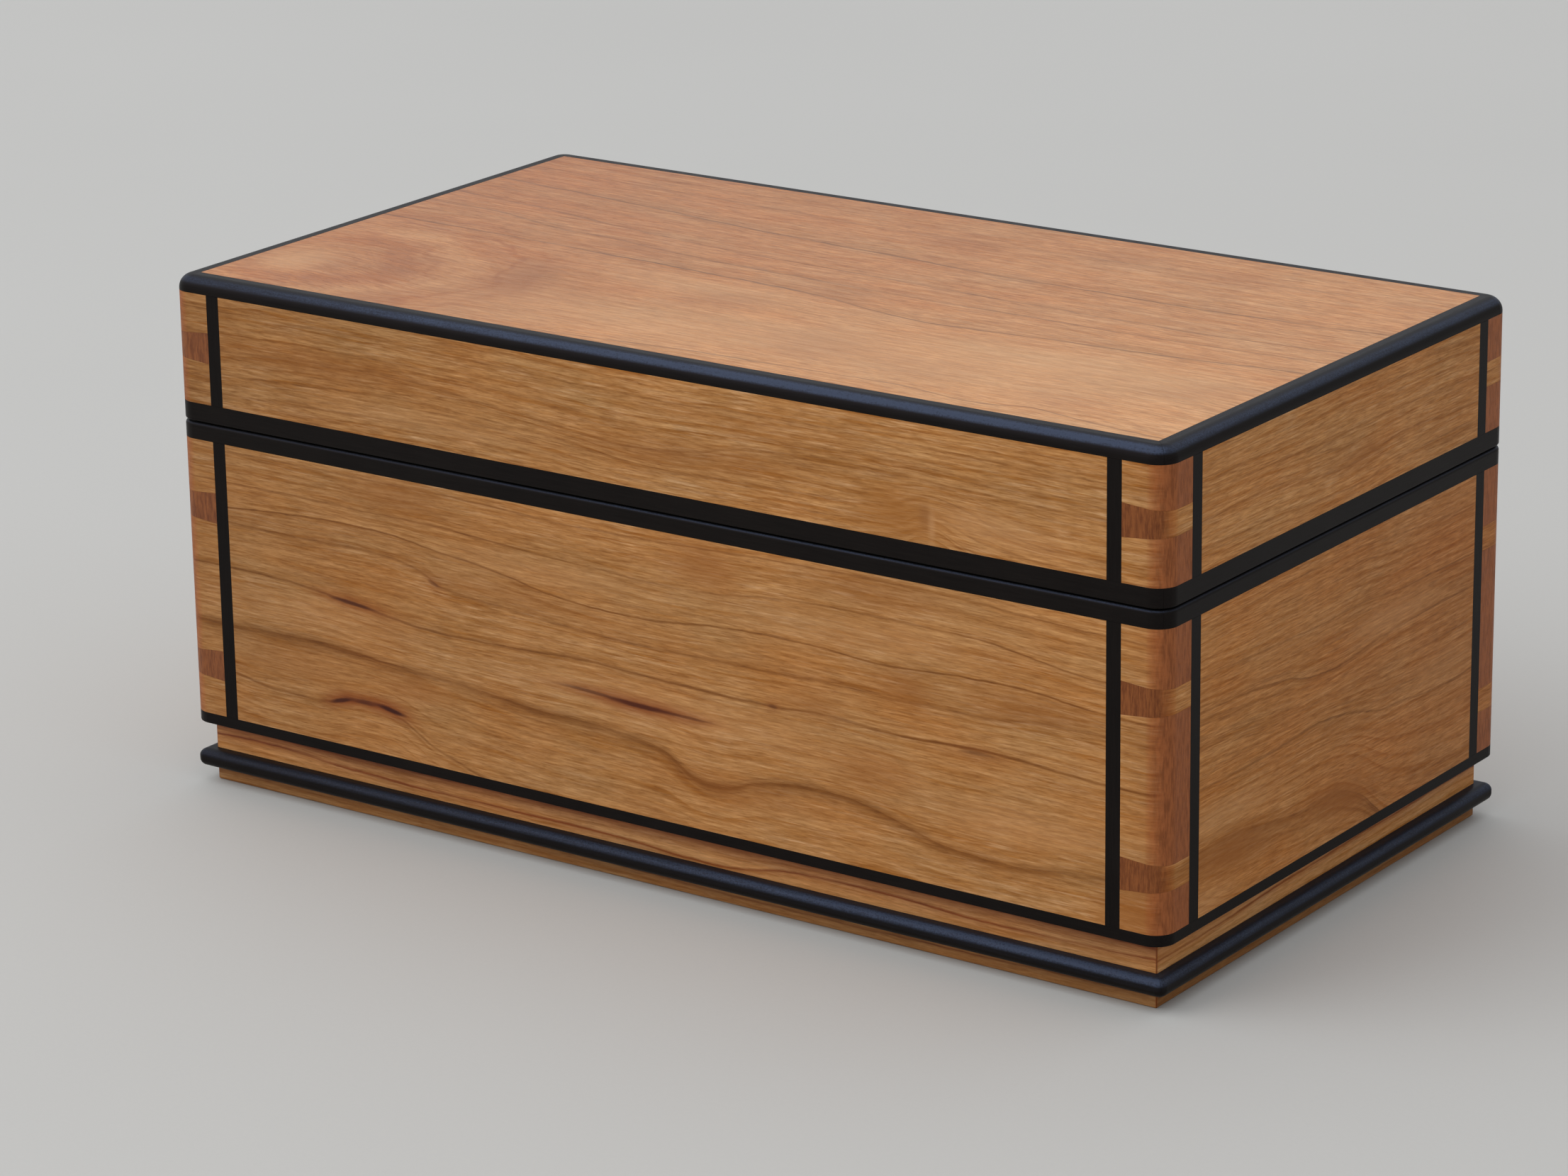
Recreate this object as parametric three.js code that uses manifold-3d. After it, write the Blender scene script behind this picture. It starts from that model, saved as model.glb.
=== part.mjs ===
// Cigar box in cherry with ebony edging: dovetailed carcase, hinged lid, set-back plinth with a rounded bead.
// Millimetres, +Z up, X along the front (+X to the right), front face towards -Y.
// Origin: centre of the carcase in plan, on the surface the plinth stands on.

import * as THREE from "three";
import { mergeVertices } from "three/addons/utils/BufferGeometryUtils.js";
import Module from "manifold-3d";

// ---------------------------------------------------------------- driving dimensions
const WIDTH = 280; // carcase, over the front face
const DEPTH = 153.6; // carcase, front face to back face
const WALL = 13; // thickness of the dovetailed boards
const CORNER_R = 5; // rounding of the carcase's upright corners
const GLUE = 0.05; // glue line left between pieces that meet
const ARC = 6; // facets in a quarter round

// heights
const BEAD_Z0 = 3.95;
const BEAD_Z1 = 8.3;
const PLINTH_TOP = 15.9;
const BASE_STRING_TOP = 18.7;
const BOX_WOOD_TOP = 88.9;
const BOX_RIM_TOP = 93.0;
const LID_RIM_BOTTOM = 93.4;
const LID_RIM_TOP = 98.1;
const LID_WOOD_TOP = 125.5;
const TOP = 129.3;

// ebony
const EDGING_W = 5.25; // top edging, seen from above
const EDGING_R = 3.5; // round-over of its outer arris
const LID_RIM_R = 0.5; // eased outer arris, lower side of the lid
const BOX_RIM_R = 0.9; // eased outer arris, upper side of the box
const STRING_T = 2.2; // depth of an upright string in the wood
const FACE_STRING_A = 11.2; // front and back faces: corner face to string
const FACE_STRING_W = 3.7;
const SIDE_STRING_A = 10.7; // side faces: corner face to string
const SIDE_STRING_W = 3.9;
const BASE_STRING_D = 5; // depth of the rebate for the base string

// base
const PLINTH_SET = 4; // plinth face behind the carcase face
const PLINTH_T = 14;
const BEAD_SET = 0.3; // bead's nose behind the carcase face
const BEAD_IN = 3; // how far the bead is let into the plinth
const BEAD_R = 1.8; // rounding of its nose, above and below
const BEAD_PLAN_R = 2.2; // rounding of its nose at the corners in plan
const FLOOR_T = 8; // bottom panel

// dovetails: pins on the side boards, tails on the front and back boards
const PIN_Z = [31.75, 72.15, 112.25];
const PIN_OUT = 5.9; // height of a pin at the corner
const PIN_IN = 8.0; // and at its root

// top panel
const TONGUE_T = 4.2;
const FIT = 0.3; // loose fit inside the walls

// lining
const LINER_T = 4;
const LINER_LIP = 4.5; // how far it stands above the box's rim

// hinges
const HINGE_X = [-85, 85];
const HINGE_NAME = ["hinge_left", "hinge_right"];
const AXIS_Y = DEPTH / 2 + 0.6;
const AXIS_Z = (BOX_RIM_TOP + LID_RIM_BOTTOM) / 2;
const LEAF_HALF = 16; // half length of a leaf along the box
const LEAF_DEPTH = 9; // axis to the leaf's inner edge
const LEAF_T = 1.5;
const KNUCKLE_R = 2.0;
const KNUCKLE_CLEAR = 0.15;
const BARREL_HALF = 12;
const MIDDLE_HALF = 4.6; // the lid leaf's single knuckle
const PIN_R = 1.0;
const BORE_R = 1.08;
const STOP_DEG = 48.5; // each leaf's heel is bevelled, so the leaves meet just past 95 degrees
const SCREW_X = 8.5;
const SCREW_Y = 5.5; // axis to the screws
const SCREW_R = 0.9;
const SCREW_LEN = 9;
const HEAD_SLOT_W = 0.5;

const HX = WIDTH / 2;
const HY = DEPTH / 2;
const IX = HX - WALL;
const IY = HY - WALL;

// ---------------------------------------------------------------- solids
const wasm = await Module();
wasm.setup();

function solid(geometry) {
  const g = geometry.clone();
  for (const name of Object.keys(g.attributes))
    if (name !== "position") g.deleteAttribute(name);
  const merged = mergeVertices(g, 1e-4);
  return new wasm.Manifold(
    new wasm.Mesh({
      numProp: 3,
      vertProperties: merged.attributes.position.array,
      triVerts: new Uint32Array(merged.index.array),
    }),
  );
}

function block(x0, x1, y0, y1, z0, z1) {
  const g = new THREE.BoxGeometry(x1 - x0, y1 - y0, z1 - z0);
  g.translate((x0 + x1) / 2, (y0 + y1) / 2, (z0 + z1) / 2);
  return solid(g);
}

// A rectangle of half sizes hx, hy with corners of radius r, as plan points.
function roundedRect(hx, hy, r, n = ARC) {
  const points = [];
  const corners = [
    [hx - r, -hy + r, -Math.PI / 2],
    [hx - r, hy - r, 0],
    [-hx + r, hy - r, Math.PI / 2],
    [-hx + r, -hy + r, Math.PI],
  ];
  for (const [cx, cy, a0] of corners)
    for (let i = 0; i <= n; i++) {
      const a = a0 + (i / n) * (Math.PI / 2);
      points.push(new THREE.Vector2(cx + r * Math.cos(a), cy + r * Math.sin(a)));
    }
  return points;
}

function prism(points, z0, z1) {
  const g = new THREE.ExtrudeGeometry(new THREE.Shape(points), {
    depth: z1 - z0,
    bevelEnabled: false,
  });
  g.translate(0, 0, z0);
  return solid(g);
}

// The carcase outline as a slab whose outer arris is rounded at the top, the bottom, or both.
function slab(hx, hy, planR, z0, z1, arris, where, segments) {
  const inner = roundedRect(hx - arris, hy - arris, planR - arris);
  const low = where === "top" ? z0 - 2 * arris : z0;
  const high = where === "bottom" ? z1 + 2 * arris : z1;
  const g = new THREE.ExtrudeGeometry(new THREE.Shape(inner), {
    depth: high - low - 2 * arris,
    bevelEnabled: true,
    bevelSize: arris,
    bevelThickness: arris,
    bevelSegments: segments,
  });
  g.translate(0, 0, low + arris);
  const whole = solid(g);
  if (where === "both") return whole;
  return whole.intersect(block(-hx - 9, hx + 9, -hy - 9, hy + 9, z0, z1));
}

// A profile in the (y, z) plane, run along x.
function alongX(profile, x0, x1) {
  const g = new THREE.ExtrudeGeometry(
    new THREE.Shape(profile.map(([y, z]) => new THREE.Vector2(y, z))),
    { depth: x1 - x0, bevelEnabled: false },
  );
  // shape x, y, extrusion z become y, z, x
  g.applyMatrix4(
    new THREE.Matrix4().set(0, 0, 1, x0, 1, 0, 0, 0, 0, 1, 0, 0, 0, 0, 0, 1),
  );
  return solid(g);
}

function rod(r, x0, x1, y, z, facets = 24) {
  const g = new THREE.CylinderGeometry(r, r, x1 - x0, facets);
  g.rotateZ(Math.PI / 2);
  g.translate((x0 + x1) / 2, y, z);
  return solid(g);
}

function post(rBottom, rTop, x, y, z0, z1, facets = 12) {
  const g = new THREE.CylinderGeometry(rTop, rBottom, z1 - z0, facets);
  g.rotateX(Math.PI / 2);
  g.translate(x, y, (z0 + z1) / 2);
  return solid(g);
}

const union = (list) => list.reduce((a, b) => a.add(b));

// ---------------------------------------------------------------- finishes
const cherryBody = () =>
  new THREE.MeshStandardMaterial({ color: 0xa9713c, roughness: 0.5, metalness: 0 });
const cherryTop = () =>
  new THREE.MeshStandardMaterial({ color: 0xc79a70, roughness: 0.45, metalness: 0 });
const ebony = () =>
  new THREE.MeshStandardMaterial({ color: 0x1c1d22, roughness: 0.4, metalness: 0 });
const cedar = () =>
  new THREE.MeshStandardMaterial({ color: 0xb98a66, roughness: 0.75, metalness: 0 });
const brass = () =>
  new THREE.MeshStandardMaterial({ color: 0xc8a04e, roughness: 0.3, metalness: 1 });

const box = new THREE.Group();
const lid = new THREE.Group();

function place(group, name, material, body) {
  const m = body.getMesh();
  const g = new THREE.BufferGeometry();
  const positions = new Float32Array(m.numVert * 3);
  for (let i = 0; i < m.numVert; i++)
    for (let k = 0; k < 3; k++)
      positions[3 * i + k] = m.vertProperties[i * m.numProp + k];
  g.setAttribute("position", new THREE.BufferAttribute(positions, 3));
  g.setIndex(new THREE.BufferAttribute(new Uint32Array(m.triVerts), 1));
  g.computeVertexNormals();
  const mesh = new THREE.Mesh(g, material);
  mesh.name = name;
  group.add(mesh);
  return mesh;
}

// ---------------------------------------------------------------- mitred frames
// The four wedges of a frame, cut at 45 degrees through the corners of a hx by hy rectangle.
function wedges(hx, hy, inward, z0, z1) {
  const m = 12;
  const k = inward + 2;
  const g = GLUE * 0.7;
  const frontPlan = [
    [-hx - m, -hy - m - g],
    [hx + m, -hy - m - g],
    [hx - k, -hy + k - g],
    [-hx + k, -hy + k - g],
  ];
  const rightPlan = [
    [hx + m, -hy - m],
    [hx + m, hy + m],
    [hx - k, hy - k],
    [hx - k, -hy + k],
  ];
  const v = (list) => list.map(([x, y]) => new THREE.Vector2(x, y));
  const turn = (list) => list.map(([x, y]) => [-x, -y]);
  return {
    front: prism(v(frontPlan), z0, z1),
    back: prism(v(turn(frontPlan)), z0, z1),
    right: prism(v(rightPlan), z0, z1),
    left: prism(v(turn(rightPlan)), z0, z1),
  };
}

function mitredFrame(group, prefix, material, ring, hx, hy, inward, z0, z1, cuts = {}) {
  const w = wedges(hx, hy, inward, z0 - 1, z1 + 1);
  for (const side of ["front", "back", "left", "right"]) {
    let piece = ring.intersect(w[side]);
    if (cuts[side]) piece = piece.subtract(cuts[side]);
    place(group, prefix + "_" + side, material(), piece);
  }
}

// ---------------------------------------------------------------- hinges: what they cut out
const leafBack = AXIS_Y - LEAF_DEPTH;
const hingeCuts = { boxRim: [], lidRim: [], boxBoard: [], lidBoard: [] };
for (const x of HINGE_X) {
  const e = GLUE;
  const barrel = rod(KNUCKLE_R + 0.2, x - BARREL_HALF - 0.75, x + BARREL_HALF + 0.75, AXIS_Y, AXIS_Z);
  hingeCuts.boxRim.push(
    block(x - LEAF_HALF - e, x + LEAF_HALF + e, leafBack - e, HY + 2, BOX_RIM_TOP - LEAF_T - e, BOX_RIM_TOP + 1),
    barrel,
  );
  hingeCuts.lidRim.push(
    block(x - LEAF_HALF - e, x + LEAF_HALF + e, leafBack - e, HY + 2, LID_RIM_BOTTOM - 1, LID_RIM_BOTTOM + LEAF_T + e),
    barrel,
  );
  for (const s of [-1, 1]) {
    const sx = x + s * SCREW_X;
    const sy = AXIS_Y - SCREW_Y;
    const down = post(SCREW_R + 0.2, SCREW_R + 0.2, sx, sy, BOX_RIM_TOP - LEAF_T - SCREW_LEN - 0.3, BOX_RIM_TOP);
    const up = post(SCREW_R + 0.2, SCREW_R + 0.2, sx, sy, LID_RIM_BOTTOM, LID_RIM_BOTTOM + LEAF_T + SCREW_LEN + 0.3);
    hingeCuts.boxRim.push(down);
    hingeCuts.boxBoard.push(down);
    hingeCuts.lidRim.push(up);
    hingeCuts.lidBoard.push(up);
  }
}
for (const key of Object.keys(hingeCuts)) hingeCuts[key] = union(hingeCuts[key]);

// ---------------------------------------------------------------- dovetailed boards
function pins(z0, z1, grow) {
  const list = [];
  for (const z of PIN_Z) {
    if (z < z0 || z > z1) continue;
    for (const sx of [-1, 1])
      for (const sy of [-1, 1]) {
        const out = PIN_OUT / 2 + grow;
        const root = PIN_IN / 2 + grow;
        const slope = (root - out) / WALL;
        const xo = HX + 2;
        const xi = IX - 0.5 * grow;
        const plan = [
          [sx * xi, z - (root + slope * 0)],
          [sx * xo, z - (out - slope * 2)],
          [sx * xo, z + (out - slope * 2)],
          [sx * xi, z + (root + slope * 0)],
        ].map(([x, zz]) => new THREE.Vector2(x, zz));
        if (sx < 0) plan.reverse();
        // the pin's profile lies in (x, z) and runs along y
        const y0 = sy > 0 ? IY - 0.8 : -HY - 2;
        const y1 = sy > 0 ? HY + 2 : -IY + 0.8;
        const g = new THREE.ExtrudeGeometry(new THREE.Shape(plan), {
          depth: y1 - y0,
          bevelEnabled: false,
        });
        // shape x, y, extrusion z become x, z, -y
        g.applyMatrix4(
          new THREE.Matrix4().set(1, 0, 0, 0, 0, 0, -1, y1, 0, 1, 0, 0, 0, 0, 0, 1),
        );
        list.push(solid(g));
      }
  }
  return union(list);
}

// Grooves for the upright strings, in all four faces.
function stringBlocks(z0, z1, grow) {
  const out = {};
  for (const sy of [-1, 1])
    for (const sx of [-1, 1]) {
      const xa = HX - FACE_STRING_A - FACE_STRING_W - grow;
      const xb = HX - FACE_STRING_A + grow;
      const ya = HY - STRING_T - grow;
      const yb = grow > 0 ? HY + 1 : HY;
      const face = sy < 0 ? "front" : "back";
      const end = sx < 0 ? "left" : "right";
      out[face + "_" + end] = block(
        Math.min(sx * xa, sx * xb), Math.max(sx * xa, sx * xb),
        Math.min(sy * ya, sy * yb), Math.max(sy * ya, sy * yb), z0, z1,
      );
      const yc = HY - SIDE_STRING_A - SIDE_STRING_W - grow;
      const yd = HY - SIDE_STRING_A + grow;
      const xc = HX - STRING_T - grow;
      const xd = grow > 0 ? HX + 1 : HX;
      out[end + "_" + face] = block(
        Math.min(sx * xc, sx * xd), Math.max(sx * xc, sx * xd),
        Math.min(sy * yc, sy * yd), Math.max(sy * yc, sy * yd), z0, z1,
      );
    }
  return out;
}

function boards(group, prefix, z0, z1, cuts) {
  const ring = prism(roundedRect(HX, HY, CORNER_R), z0, z1).subtract(
    block(-IX, IX, -IY, IY, z0 - 1, z1 + 1),
  );
  const grooves = union(Object.values(stringBlocks(z0 - 1, z1 + 1, GLUE)));
  const pin = pins(z0, z1, 0);
  const socket = pins(z0, z1, GLUE);
  for (const [side, s] of [["front", -1], ["back", 1]]) {
    const zone = s < 0
      ? block(-HX - 1, HX + 1, -HY - 1, -IY, z0, z1)
      : block(-HX - 1, HX + 1, IY, HY + 1, z0, z1);
    let piece = ring.intersect(zone).subtract(socket).subtract(grooves);
    if (cuts.all) piece = piece.subtract(cuts.all);
    if (cuts[side]) piece = piece.subtract(cuts[side]);
    place(group, prefix + "_" + side, cherryBody(), piece);
  }
  for (const [side, s] of [["left", -1], ["right", 1]]) {
    const xs = s < 0 ? [-HX - 1, -IX] : [IX, HX + 1];
    const straight = ring.intersect(block(xs[0], xs[1], -IY + GLUE, IY - GLUE, z0, z1));
    const ends = ring.intersect(pin).intersect(block(xs[0], xs[1], -HY, HY, z0, z1));
    let piece = straight.add(ends).subtract(grooves);
    if (cuts.all) piece = piece.subtract(cuts.all);
    place(group, prefix + "_" + side, cherryBody(), piece);
  }
}

function strings(group, prefix, z0, z1) {
  for (const [name, body] of Object.entries(stringBlocks(z0, z1, 0)))
    place(group, prefix + "_" + name, ebony(), body);
}

// ---------------------------------------------------------------- the base
// Bead: a strip with a rounded nose, let into the plinth.
const beadHX = HX - BEAD_SET;
const beadHY = HY - BEAD_SET;
const plinthHX = HX - PLINTH_SET;
const plinthHY = HY - PLINTH_SET;
const beadRing = slab(beadHX, beadHY, BEAD_PLAN_R, BEAD_Z0, BEAD_Z1, BEAD_R, "both", 4).subtract(
  block(-plinthHX + BEAD_IN, plinthHX - BEAD_IN, -plinthHY + BEAD_IN, plinthHY - BEAD_IN, 0, 12),
);
mitredFrame(box, "bead", ebony, beadRing, beadHX, beadHY, 14, BEAD_Z0, BEAD_Z1);

const plinthRing = block(-plinthHX, plinthHX, -plinthHY, plinthHY, 0, PLINTH_TOP - GLUE)
  .subtract(
    block(-plinthHX + PLINTH_T, plinthHX - PLINTH_T, -plinthHY + PLINTH_T, plinthHY - PLINTH_T, -1, 20),
  )
  .subtract(
    block(-HX, HX, -HY, HY, BEAD_Z0 - GLUE, BEAD_Z1 + GLUE).subtract(
      block(
        -plinthHX + BEAD_IN + GLUE, plinthHX - BEAD_IN - GLUE,
        -plinthHY + BEAD_IN + GLUE, plinthHY - BEAD_IN - GLUE, 0, 12,
      ),
    ),
  );
mitredFrame(box, "plinth", cherryBody, plinthRing, plinthHX, plinthHY, PLINTH_T, 0, PLINTH_TOP);

place(
  box, "bottom_panel", cedar(),
  block(-IX + GLUE, IX - GLUE, -IY + GLUE, IY - GLUE, PLINTH_TOP, PLINTH_TOP + FLOOR_T),
);

// ---------------------------------------------------------------- the box
const rebateRing = (z0, z1, g) =>
  prism(roundedRect(HX + (g ? 1 : 0), HY + (g ? 1 : 0), CORNER_R + (g ? 1 : 0)), z0, z1).subtract(
    block(-HX + BASE_STRING_D + g, HX - BASE_STRING_D - g, -HY + BASE_STRING_D + g, HY - BASE_STRING_D - g, z0 - 1, z1 + 1),
  );
mitredFrame(
  box, "base_string", ebony,
  rebateRing(PLINTH_TOP, BASE_STRING_TOP - GLUE, 0),
  HX, HY, BASE_STRING_D, PLINTH_TOP, BASE_STRING_TOP,
);
boards(box, "box_board", PLINTH_TOP, BOX_WOOD_TOP - GLUE, {
  all: rebateRing(PLINTH_TOP - 1, BASE_STRING_TOP, GLUE),
  back: hingeCuts.boxBoard,
});
strings(box, "box_string", BASE_STRING_TOP, BOX_WOOD_TOP - GLUE);

const boxRimRing = slab(HX, HY, CORNER_R, BOX_WOOD_TOP, BOX_RIM_TOP, BOX_RIM_R, "top", 3).subtract(
  block(-IX, IX, -IY, IY, 0, 200),
);
mitredFrame(box, "box_rim", ebony, boxRimRing, HX, HY, WALL, BOX_WOOD_TOP, BOX_RIM_TOP, {
  back: hingeCuts.boxRim,
});

// ---------------------------------------------------------------- the lining
const floorTop = PLINTH_TOP + FLOOR_T + GLUE;
const lipTop = BOX_RIM_TOP + LINER_LIP;
for (const [side, s] of [["front", -1], ["back", 1]]) {
  const a = s * (IY - FIT);
  const b = s * (IY - FIT - LINER_T);
  place(
    box, "liner_" + side, cedar(),
    block(-IX + FIT, IX - FIT, Math.min(a, b), Math.max(a, b), floorTop, lipTop),
  );
}
for (const [side, s] of [["left", -1], ["right", 1]]) {
  const a = s * (IX - FIT);
  const b = s * (IX - FIT - LINER_T);
  const y = IY - FIT - LINER_T - GLUE;
  place(
    box, "liner_" + side, cedar(),
    block(Math.min(a, b), Math.max(a, b), -y, y, floorTop, lipTop),
  );
}

// ---------------------------------------------------------------- the lid
const lidRimRing = slab(HX, HY, CORNER_R, LID_RIM_BOTTOM, LID_RIM_TOP - GLUE, LID_RIM_R, "bottom", 2).subtract(
  block(-IX, IX, -IY, IY, 0, 200),
);
mitredFrame(lid, "lid_rim", ebony, lidRimRing, HX, HY, WALL, LID_RIM_BOTTOM, LID_RIM_TOP, {
  back: hingeCuts.lidRim,
});
boards(lid, "lid_board", LID_RIM_TOP, LID_WOOD_TOP - GLUE, { back: hingeCuts.lidBoard });
strings(lid, "lid_string", LID_RIM_TOP, LID_WOOD_TOP - GLUE);

const edgingRing = slab(HX, HY, CORNER_R, LID_WOOD_TOP, TOP, EDGING_R, "top", 5).subtract(
  block(-HX + EDGING_W, HX - EDGING_W, -HY + EDGING_W, HY - EDGING_W, 0, 200),
);
mitredFrame(lid, "lid_edging", ebony, edgingRing, HX, HY, EDGING_W, LID_WOOD_TOP, TOP);

const px = HX - EDGING_W - GLUE;
const py = HY - EDGING_W - GLUE;
place(
  lid, "lid_top_panel", cherryTop(),
  block(-px, px, -py, py, LID_WOOD_TOP, TOP).add(
    block(-IX + FIT, IX - FIT, -IY + FIT, IY - FIT, LID_WOOD_TOP - TONGUE_T, LID_WOOD_TOP + 1),
  ),
);

// ---------------------------------------------------------------- the hinges
const seam = (LID_RIM_BOTTOM - BOX_RIM_TOP) / 2;
const run = 1 / Math.tan(THREE.MathUtils.degToRad(STOP_DEG));
// s = 1 for the lid's leaf, above the axis; s = -1 for the box's, below it
function leaf(x, s) {
  const za = seam;
  const zb = seam + LEAF_T;
  const profile = [
    [AXIS_Y - LEAF_DEPTH, AXIS_Z + s * za],
    [AXIS_Y + za * run, AXIS_Z + s * za],
    [AXIS_Y + zb * run, AXIS_Z + s * zb],
    [AXIS_Y - LEAF_DEPTH, AXIS_Z + s * zb],
  ];
  if (s < 0) profile.reverse();
  const end = BARREL_HALF + 0.7;
  let body = alongX(profile, x - LEAF_HALF, x + LEAF_HALF).subtract(
    block(x - end, x + end, AXIS_Y - 0.3, AXIS_Y + 4, AXIS_Z - 4, AXIS_Z + 4),
  );
  const own = s > 0
    ? [[-MIDDLE_HALF, MIDDLE_HALF]]
    : [[-BARREL_HALF, -MIDDLE_HALF - 0.3], [MIDDLE_HALF + 0.3, BARREL_HALF]];
  const other = s > 0
    ? [[-end, -MIDDLE_HALF - KNUCKLE_CLEAR], [MIDDLE_HALF + KNUCKLE_CLEAR, end]]
    : [[-MIDDLE_HALF - KNUCKLE_CLEAR, MIDDLE_HALF + KNUCKLE_CLEAR], [-end, -BARREL_HALF], [BARREL_HALF, end]];
  for (const [a, b] of other)
    body = body.subtract(rod(KNUCKLE_R + KNUCKLE_CLEAR, x + a, x + b, AXIS_Y, AXIS_Z));
  for (const [a, b] of own) body = body.add(rod(KNUCKLE_R, x + a, x + b, AXIS_Y, AXIS_Z));
  body = body.subtract(rod(BORE_R, x - end, x + end, AXIS_Y, AXIS_Z));
  for (const t of [-1, 1]) {
    const sx = x + t * SCREW_X;
    const sy = AXIS_Y - SCREW_Y;
    const z1 = AXIS_Z + s * (zb - 0.4);
    const z2 = AXIS_Z + s * (zb + SCREW_LEN);
    body = body.add(
      s > 0 ? post(SCREW_R, SCREW_R * 0.35, sx, sy, z1, z2, 10) : post(SCREW_R * 0.35, SCREW_R, sx, sy, z2, z1, 10),
    );
    const zs = AXIS_Z + s * za;
    body = body.subtract(
      block(sx - 1.5, sx + 1.5, sy - HEAD_SLOT_W / 2, sy + HEAD_SLOT_W / 2, Math.min(zs - s, zs + s * 0.4), Math.max(zs - s, zs + s * 0.4)),
    );
  }
  return body;
}
HINGE_X.forEach((x, i) => {
  const name = HINGE_NAME[i];
  place(lid, name + "_lid_leaf", brass(), leaf(x, 1));
  place(box, name + "_box_leaf", brass(), leaf(x, -1));
  place(box, name + "_pin", brass(), rod(PIN_R, x - BARREL_HALF - 0.3, x + BARREL_HALF + 0.3, AXIS_Y, AXIS_Z));
});

const cigarBox = new THREE.Group();
cigarBox.add(box, lid);
export default cigarBox;
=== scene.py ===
import math

import bmesh
import bpy
from mathutils import Matrix, Vector


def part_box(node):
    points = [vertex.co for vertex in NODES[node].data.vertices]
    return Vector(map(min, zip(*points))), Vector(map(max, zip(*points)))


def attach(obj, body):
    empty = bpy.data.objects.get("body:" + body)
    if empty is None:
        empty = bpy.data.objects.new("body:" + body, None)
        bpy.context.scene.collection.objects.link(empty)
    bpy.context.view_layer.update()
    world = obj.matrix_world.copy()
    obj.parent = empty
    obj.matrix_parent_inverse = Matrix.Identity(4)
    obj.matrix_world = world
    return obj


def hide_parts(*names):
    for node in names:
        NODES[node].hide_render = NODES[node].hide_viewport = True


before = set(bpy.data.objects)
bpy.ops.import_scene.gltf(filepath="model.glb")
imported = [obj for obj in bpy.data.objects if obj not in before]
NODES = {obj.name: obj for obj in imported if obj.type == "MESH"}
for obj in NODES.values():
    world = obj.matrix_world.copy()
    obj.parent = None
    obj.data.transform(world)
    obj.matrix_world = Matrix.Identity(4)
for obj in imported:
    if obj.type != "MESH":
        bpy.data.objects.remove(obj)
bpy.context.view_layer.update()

scene = bpy.context.scene
MM = 0.001

# ------------------------------------------------------------------ sizes, in millimetres, as in the CAD
HX, HY = 140.0, 76.8
WALL = 13.0
IX, IY = HX - WALL, HY - WALL
CORNER_R = 5.0
GAP = 0.03
BEAD_Z0, BEAD_Z1 = 3.95, 8.3
PLINTH_TOP, BASE_STRING_TOP = 15.9, 18.7
BOX_WOOD_TOP, BOX_RIM_TOP = 88.9, 93.0
LID_RIM_BOTTOM, LID_RIM_TOP = 93.4, 98.1
LID_WOOD_TOP, TOP = 125.5, 129.3
EDGING_W, EDGING_R = 5.25, 3.5
PLINTH_SET, PLINTH_T = 4.0, 14.0
PIN_Z = (31.75, 72.15, 112.25)
PIN_OUT, PIN_IN = 5.9, 8.0
FACE_STRING = (HX - 11.2 - 3.7, HX - 11.2)
SIDE_STRING = (HY - 10.7 - 3.9, HY - 10.7)
STRING_T = 2.2
BASE_STRING_D = 5.0
HINGE_X = {"hinge_left": -85.0, "hinge_right": 85.0}
AXIS_Y, AXIS_Z = HY + 0.6, 93.2
LEAF_HALF, LEAF_DEPTH, LEAF_T = 16.0, 9.0, 1.5
KNUCKLE_R, BARREL_HALF, MIDDLE_HALF = 2.0, 12.0, 4.6
SCREW_X, SCREW_Y = 8.5, 5.5

# ------------------------------------------------------------------ camera, at the photograph's angle
AZ, EL, ROLL = (math.radians(a) for a in (35.608275, 17.874884, -0.882268))
FOCAL_PX, FRAME_W = 7423.2249, 2212.0
back = Vector((math.sin(AZ) * math.cos(EL), -math.cos(AZ) * math.cos(EL), math.sin(EL)))
right = Vector((math.cos(AZ), math.sin(AZ), 0.0))
up = back.cross(right)
right, up = (
    right * math.cos(ROLL) + up * math.sin(ROLL),
    up * math.cos(ROLL) - right * math.sin(ROLL),
)
turn = Matrix((right, up, back)).transposed()
camera = bpy.data.objects.new("camera", bpy.data.cameras.new("camera"))
scene.collection.objects.link(camera)
camera.data.sensor_fit = "HORIZONTAL"
camera.data.sensor_width = 36.0
camera.data.lens = FOCAL_PX / FRAME_W * 36.0
camera.data.clip_start, camera.data.clip_end = 0.05, 200.0
camera.matrix_world = Matrix.Translation(
    -(turn @ Vector((12.894821, -50.970082, -1286.045543))) * MM
) @ turn.to_4x4()
scene.camera = camera


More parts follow.
